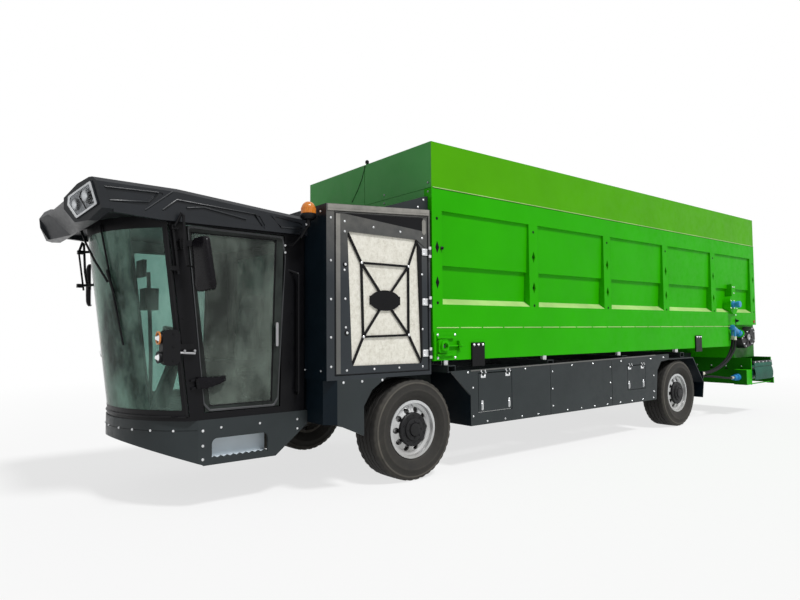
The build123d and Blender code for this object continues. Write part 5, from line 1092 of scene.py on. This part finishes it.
def mirror_point(across, z, behind):
    return at(1.06, -2.335, z) + MIRROR_X * across - MIRROR_N * behind


MIRROR_EDGE = [(0, 2.397), (0.06, 1.927), (0.32, 1.943), (0.205, 2.404)]
shell = pair("mirror_shells", GLOSS)
face = pair("mirror_faces", CHROME)
mount = pair("mirror_arms", PLASTIC)
for pile, layers in (
    (shell, ((0.5, -0.009), (0.8, -0.004), (0.93, 0.004), (1, 0.02), (1, 0.045))),
    (face, ((0.92, 0.0452), (0.92, 0.0465))),
):
    pile.skin(shells(rounded(MIRROR_EDGE, 0.05), Vector((0.146, 2.165)), layers, mirror_point))
mount.run(
    0.013, (0.9, -2.445, 2.508), (0.965, -2.432, 2.508), (1, -2.39, 2.62),
    (1.003, -2.375, 2.6), (1.003, -2.36, 2.3), (1.01, -2.335, 2.16), (1.11, -2.29, 2.14),
)
mount.run(0.01, (0.93, -2.386, 2.092), (0.93, -2.44, 2.508))
mount.rod(at(1.1, -2.297, 2.11), at(1.1, -2.297, 2.17), 0.022, sides=16)
far_arm = Pile("far_mirror_arm", PLASTIC)
for z in (2.14, 2.5):
    mount.box((0.895, -2.455, z - 0.02), (0.945, -2.395, z + 0.02))
    far_arm.run(0.014, (-0.905, -2.425, z), (-0.95, -2.58, z - 0.03), (-0.96, -2.795, z - 0.05))
for pile in (shell, face, mount):
    pile.stands_for = "mirrors"
    pile.twin_shift = (-0.06, -0.36, -0.05)

BEACON = at(1.121, -1.2, 0)
base = Pile("beacon_base", PLASTIC)
base.turned(BEACON, UP, [
    (2.668, 0.03), (2.672, 0.062), (2.69, 0.078), (2.706, 0.082), (2.722, 0.08), (2.728, 0.07),
], 36)
base.rod(BEACON + UP * 2.6, BEACON + UP * 2.67, 0.024, sides=16)
base.run(
    0.015, (1.121, -1.2, 2.64), (1.101, -1.2, 2.6), (1.05, -1.24, 2.5),
    (0.96, -1.29, 2.435), (0.9, -1.319, 2.426),
)
dome = Pile("beacon_dome", AMBER)
dome.turned(BEACON, UP, [
    (2.726, 0.066), (2.73, 0.071), (2.775, 0.07), (2.8, 0.066), (2.825, 0.052), (2.842, 0.03),
    (2.848, 0.008),
], 36)
for turn in turns(24):
    spot = BEACON + Vector((0.07 * cos(turn), 0.07 * sin(turn), 0))
    dome.rod(spot + UP * 2.735, spot + UP * 2.785, 0.0025, sides=6)
base.stands_for = dome.stands_for = "beacon"
clips = Pile("beacon_bolts", ZINC)
clips.bolt(BEACON + UP * 2.62 + FORWARD * 0.022, FORWARD, 0.009)
clips.bolts(0.008, (-1.335, 2.43), (-1.335, 2.36), x=CAB_HALF)

# Rear drives: motor caps, flanges and bolts
GEAR_AXIS = around(0, 1, radians(180 - 22))
GEAR_MOTOR = at(1.34, 7.794, 1.475)
GEAR_STATION, GEAR_Z, POCKET_CIRCLE = 8.02, 1.41, 0.118
BEATER_STATION, BEATER_Z = 7.5, 2.01
caps = Pile("motor_caps", BLUE)
caps.turned(
    at(1.445, BEATER_STATION, BEATER_Z), LEFT,
    [(-0.004, 0.058), (0.045, 0.058), (0.052, 0.05), (0.053, 0.012)], 28,
)
caps.turned(
    GEAR_MOTOR, GEAR_AXIS, [(0.313, 0.05), (0.322, 0.05), (0.326, 0.04), (0.326, 0.01)], 28
)
flanges = Pile("motor_flanges", GREEN)
flanges.turned(
    GEAR_MOTOR, GEAR_AXIS, [(-0.012, 0.082), (0.004, 0.082), (0.008, 0.076), (0.008, 0.058)], 32
)
flanges.plate(1.345, BEATER_STATION, BEATER_Z, 0.17, 0.17, 0.014, 0.03)
drive = Pile("drive_bolts", ZINC)
drive.bolts(
    0.009, (7.435, 1.945), (7.565, 1.945), (7.565, 2.075), (7.435, 2.075), x=1.359
)
drive.bolts(
    0.009, (7.56, 2.33), (7.62, 2.33), (7.59, 2.22), (7.7, 2.06), (7.7, 1.94), x=1.345
)
drive.bolts(
    0.009, (7.83, 1.43), (7.99, 1.51), (8.2, 1.57), (8.28, 1.51), (8.285, 1.35), (8.18, 1.29),
    (7.92, 1.245), (7.85, 1.29), (7.775, 1.39), x=1.395,
)
drive.bolts(0.009, (7.735, 1.58), (7.74, 1.82))
# Dark fills for the conveyor board's slots and the gearbox face's pockets: painted shade.
pockets = Pile("gearbox_pockets", JOINT_AND_SHADE_BLACK)
for index in range(11):
    x = -1.35 + 0.27 * index
    drive.bolt(at(x, 7.8, 0.88), FORWARD, 0.009)
    drive.bolt(at(x, 8.7, 0.88), -FORWARD, 0.009)
    pockets.box((x - 0.03, 7.7985, 0.82), (x + 0.03, 7.8, 0.84))
for turn in turns(6):
    pocket = at(1.3812, GEAR_STATION, GEAR_Z) + around(0, POCKET_CIRCLE, turn)
    pockets.rod(pocket, pocket + LEFT * 0.001, 0.02)
Pile("gearbox_boss", STEEL).turned(at(1.25, GEAR_STATION, GEAR_Z), LEFT, [
    (0.155, 0.058), (0.164, 0.056), (0.168, 0.05), (0.168, 0.03), (0.162, 0.026),
], 32)
flap_profile = (
    (1.522, 0.965), (1.545, 0.93), (1.55, 0.88), (1.538, 0.86), (1.553, 0.82), (1.564, 0.76),
    (1.562, 0.69), (1.55, 0.635),
)
pair("conveyor_flaps", BELT).skin([
    [at(x, 7.86, z), at(x, 8.65, z), at(x + 0.007, 8.65, z), at(x + 0.007, 7.86, z)]
    for x, z in flap_profile
])
pair("flap_clamps", GREY).box((1.512, 7.85, 0.93), (1.545, 8.66, 0.972))
clamp_places = [(7.92 + 0.165 * index, 0.951) for index in range(5)]
pair("flap_clamp_bolts", ZINC).bolts(0.008, *clamp_places, x=1.545)
tail = pair("tail_bezels", PLASTIC)
TAIL_X, TAIL_STATION = 1.11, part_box("tail_lamps")[1].y - FRONT_AXLE_Y
for z in (1.588, 1.472):
    tail.box(
        (TAIL_X - 0.126, TAIL_STATION - 0.03, z - 0.005),
        (TAIL_X + 0.126, TAIL_STATION + 0.004, z + 0.005),
    )
pair("side_markers", RED).turned(at(WALL_X, 8.536, 1.7), LEFT, [
    (0, 0.032), (0.006, 0.032), (0.011, 0.024), (0.012, 0.004),
], 24)
for pile in PILES:
    pile.done()

# Camera at the photograph's place
PHOTO_WIDTH, FOCAL_LENGTH = 800, 617.65          # pixels
CAMERA_PLACE = at(6.333, -4.245, 1.586)
YAW, PITCH, ROLL = (radians(angle) for angle in (-51.261, 2.813, -0.438))
camera_data = bpy.data.cameras.new("camera")
camera_data.sensor_width = 36.0
camera_data.lens = camera_data.sensor_width * FOCAL_LENGTH / PHOTO_WIDTH
camera = add_object("camera", camera_data)
ahead = Vector((cos(PITCH) * sin(YAW), cos(PITCH) * cos(YAW), sin(PITCH)))
right = ahead.cross(UP).normalized()
up = right.cross(ahead)
right_rolled = right * cos(ROLL) + up * sin(ROLL)
up_rolled = -right * sin(ROLL) + up * cos(ROLL)
turn = Matrix((right_rolled, up_rolled, -ahead)).transposed()
camera.matrix_world = Matrix.Translation(CAMERA_PLACE) @ turn.to_4x4()
bpy.context.scene.camera = camera



def seen_rays(owner):
    """1 for camera, glossy and transmission rays, which see the white background."""
    path = add_node(owner, "LightPath")
    total = path.outputs["Is Camera Ray"]
    for name in ("Is Glossy Ray", "Is Transmission Ray"):
        larger = add_node(owner, "Math", operation="MAXIMUM")
        join(total, larger.inputs[0])
        join(path.outputs[name], larger.inputs[1])
        total = larger.outputs[0]
    return total


# Pale floor that is white to the camera but keeps the wagon's shadow
floor_mesh = bpy.data.meshes.new("floor")
floor_mesh.from_pydata(
    [(-60, -60, 0), (60, -60, 0), (60, 60, 0), (-60, 60, 0)], [], [(0, 1, 2, 3)]
)
floor = add_object("floor", floor_mesh)
floor_look, floor_shader = new_material(
    "floor_white", Base_Color=(0.8, 0.8, 0.8, 1.0), Roughness=0.9, Specular_IOR_Level=0.0
)
glow = add_node(floor_look, "Emission", Strength=1.0)
reach = add_node(floor_look, "VectorMath", operation="LENGTH")
join(add_node(floor_look, "NewGeometry").outputs["Position"], reach.inputs[0])
fade = mapped(floor_look, reach.outputs["Value"], *FADE, FLOOR_GLOW, 1.0)
share = product(floor_look, seen_rays(floor_look), fade)
blend(floor_look, share, floor_shader.outputs["BSDF"], glow.outputs["Emission"])
floor_mesh.materials.append(floor_look)

# Soft studio light: a white surround and one broad key lamp from the wagon's left
world = bpy.data.worlds.new("studio")
bpy.context.scene.world = world
world.use_nodes = True
sky = world.node_tree.nodes["Background"]
sky.inputs["Color"].default_value = (1.0, 1.0, 1.0, 1.0)
join(mapped(world, seen_rays(world), 0.0, 1.0, SKY_LIGHT, 1.0), sky.inputs["Strength"])
key_data = bpy.data.lights.new("key", "SUN")
key_data.energy = KEY_LIGHT
key_data.angle = radians(10)
key = add_object("key", key_data)
key.rotation_euler = Vector((1.0, 0.1, 1.5)).to_track_quat("Z", "Y").to_euler()

bpy.context.scene.view_settings.view_transform = "Standard"
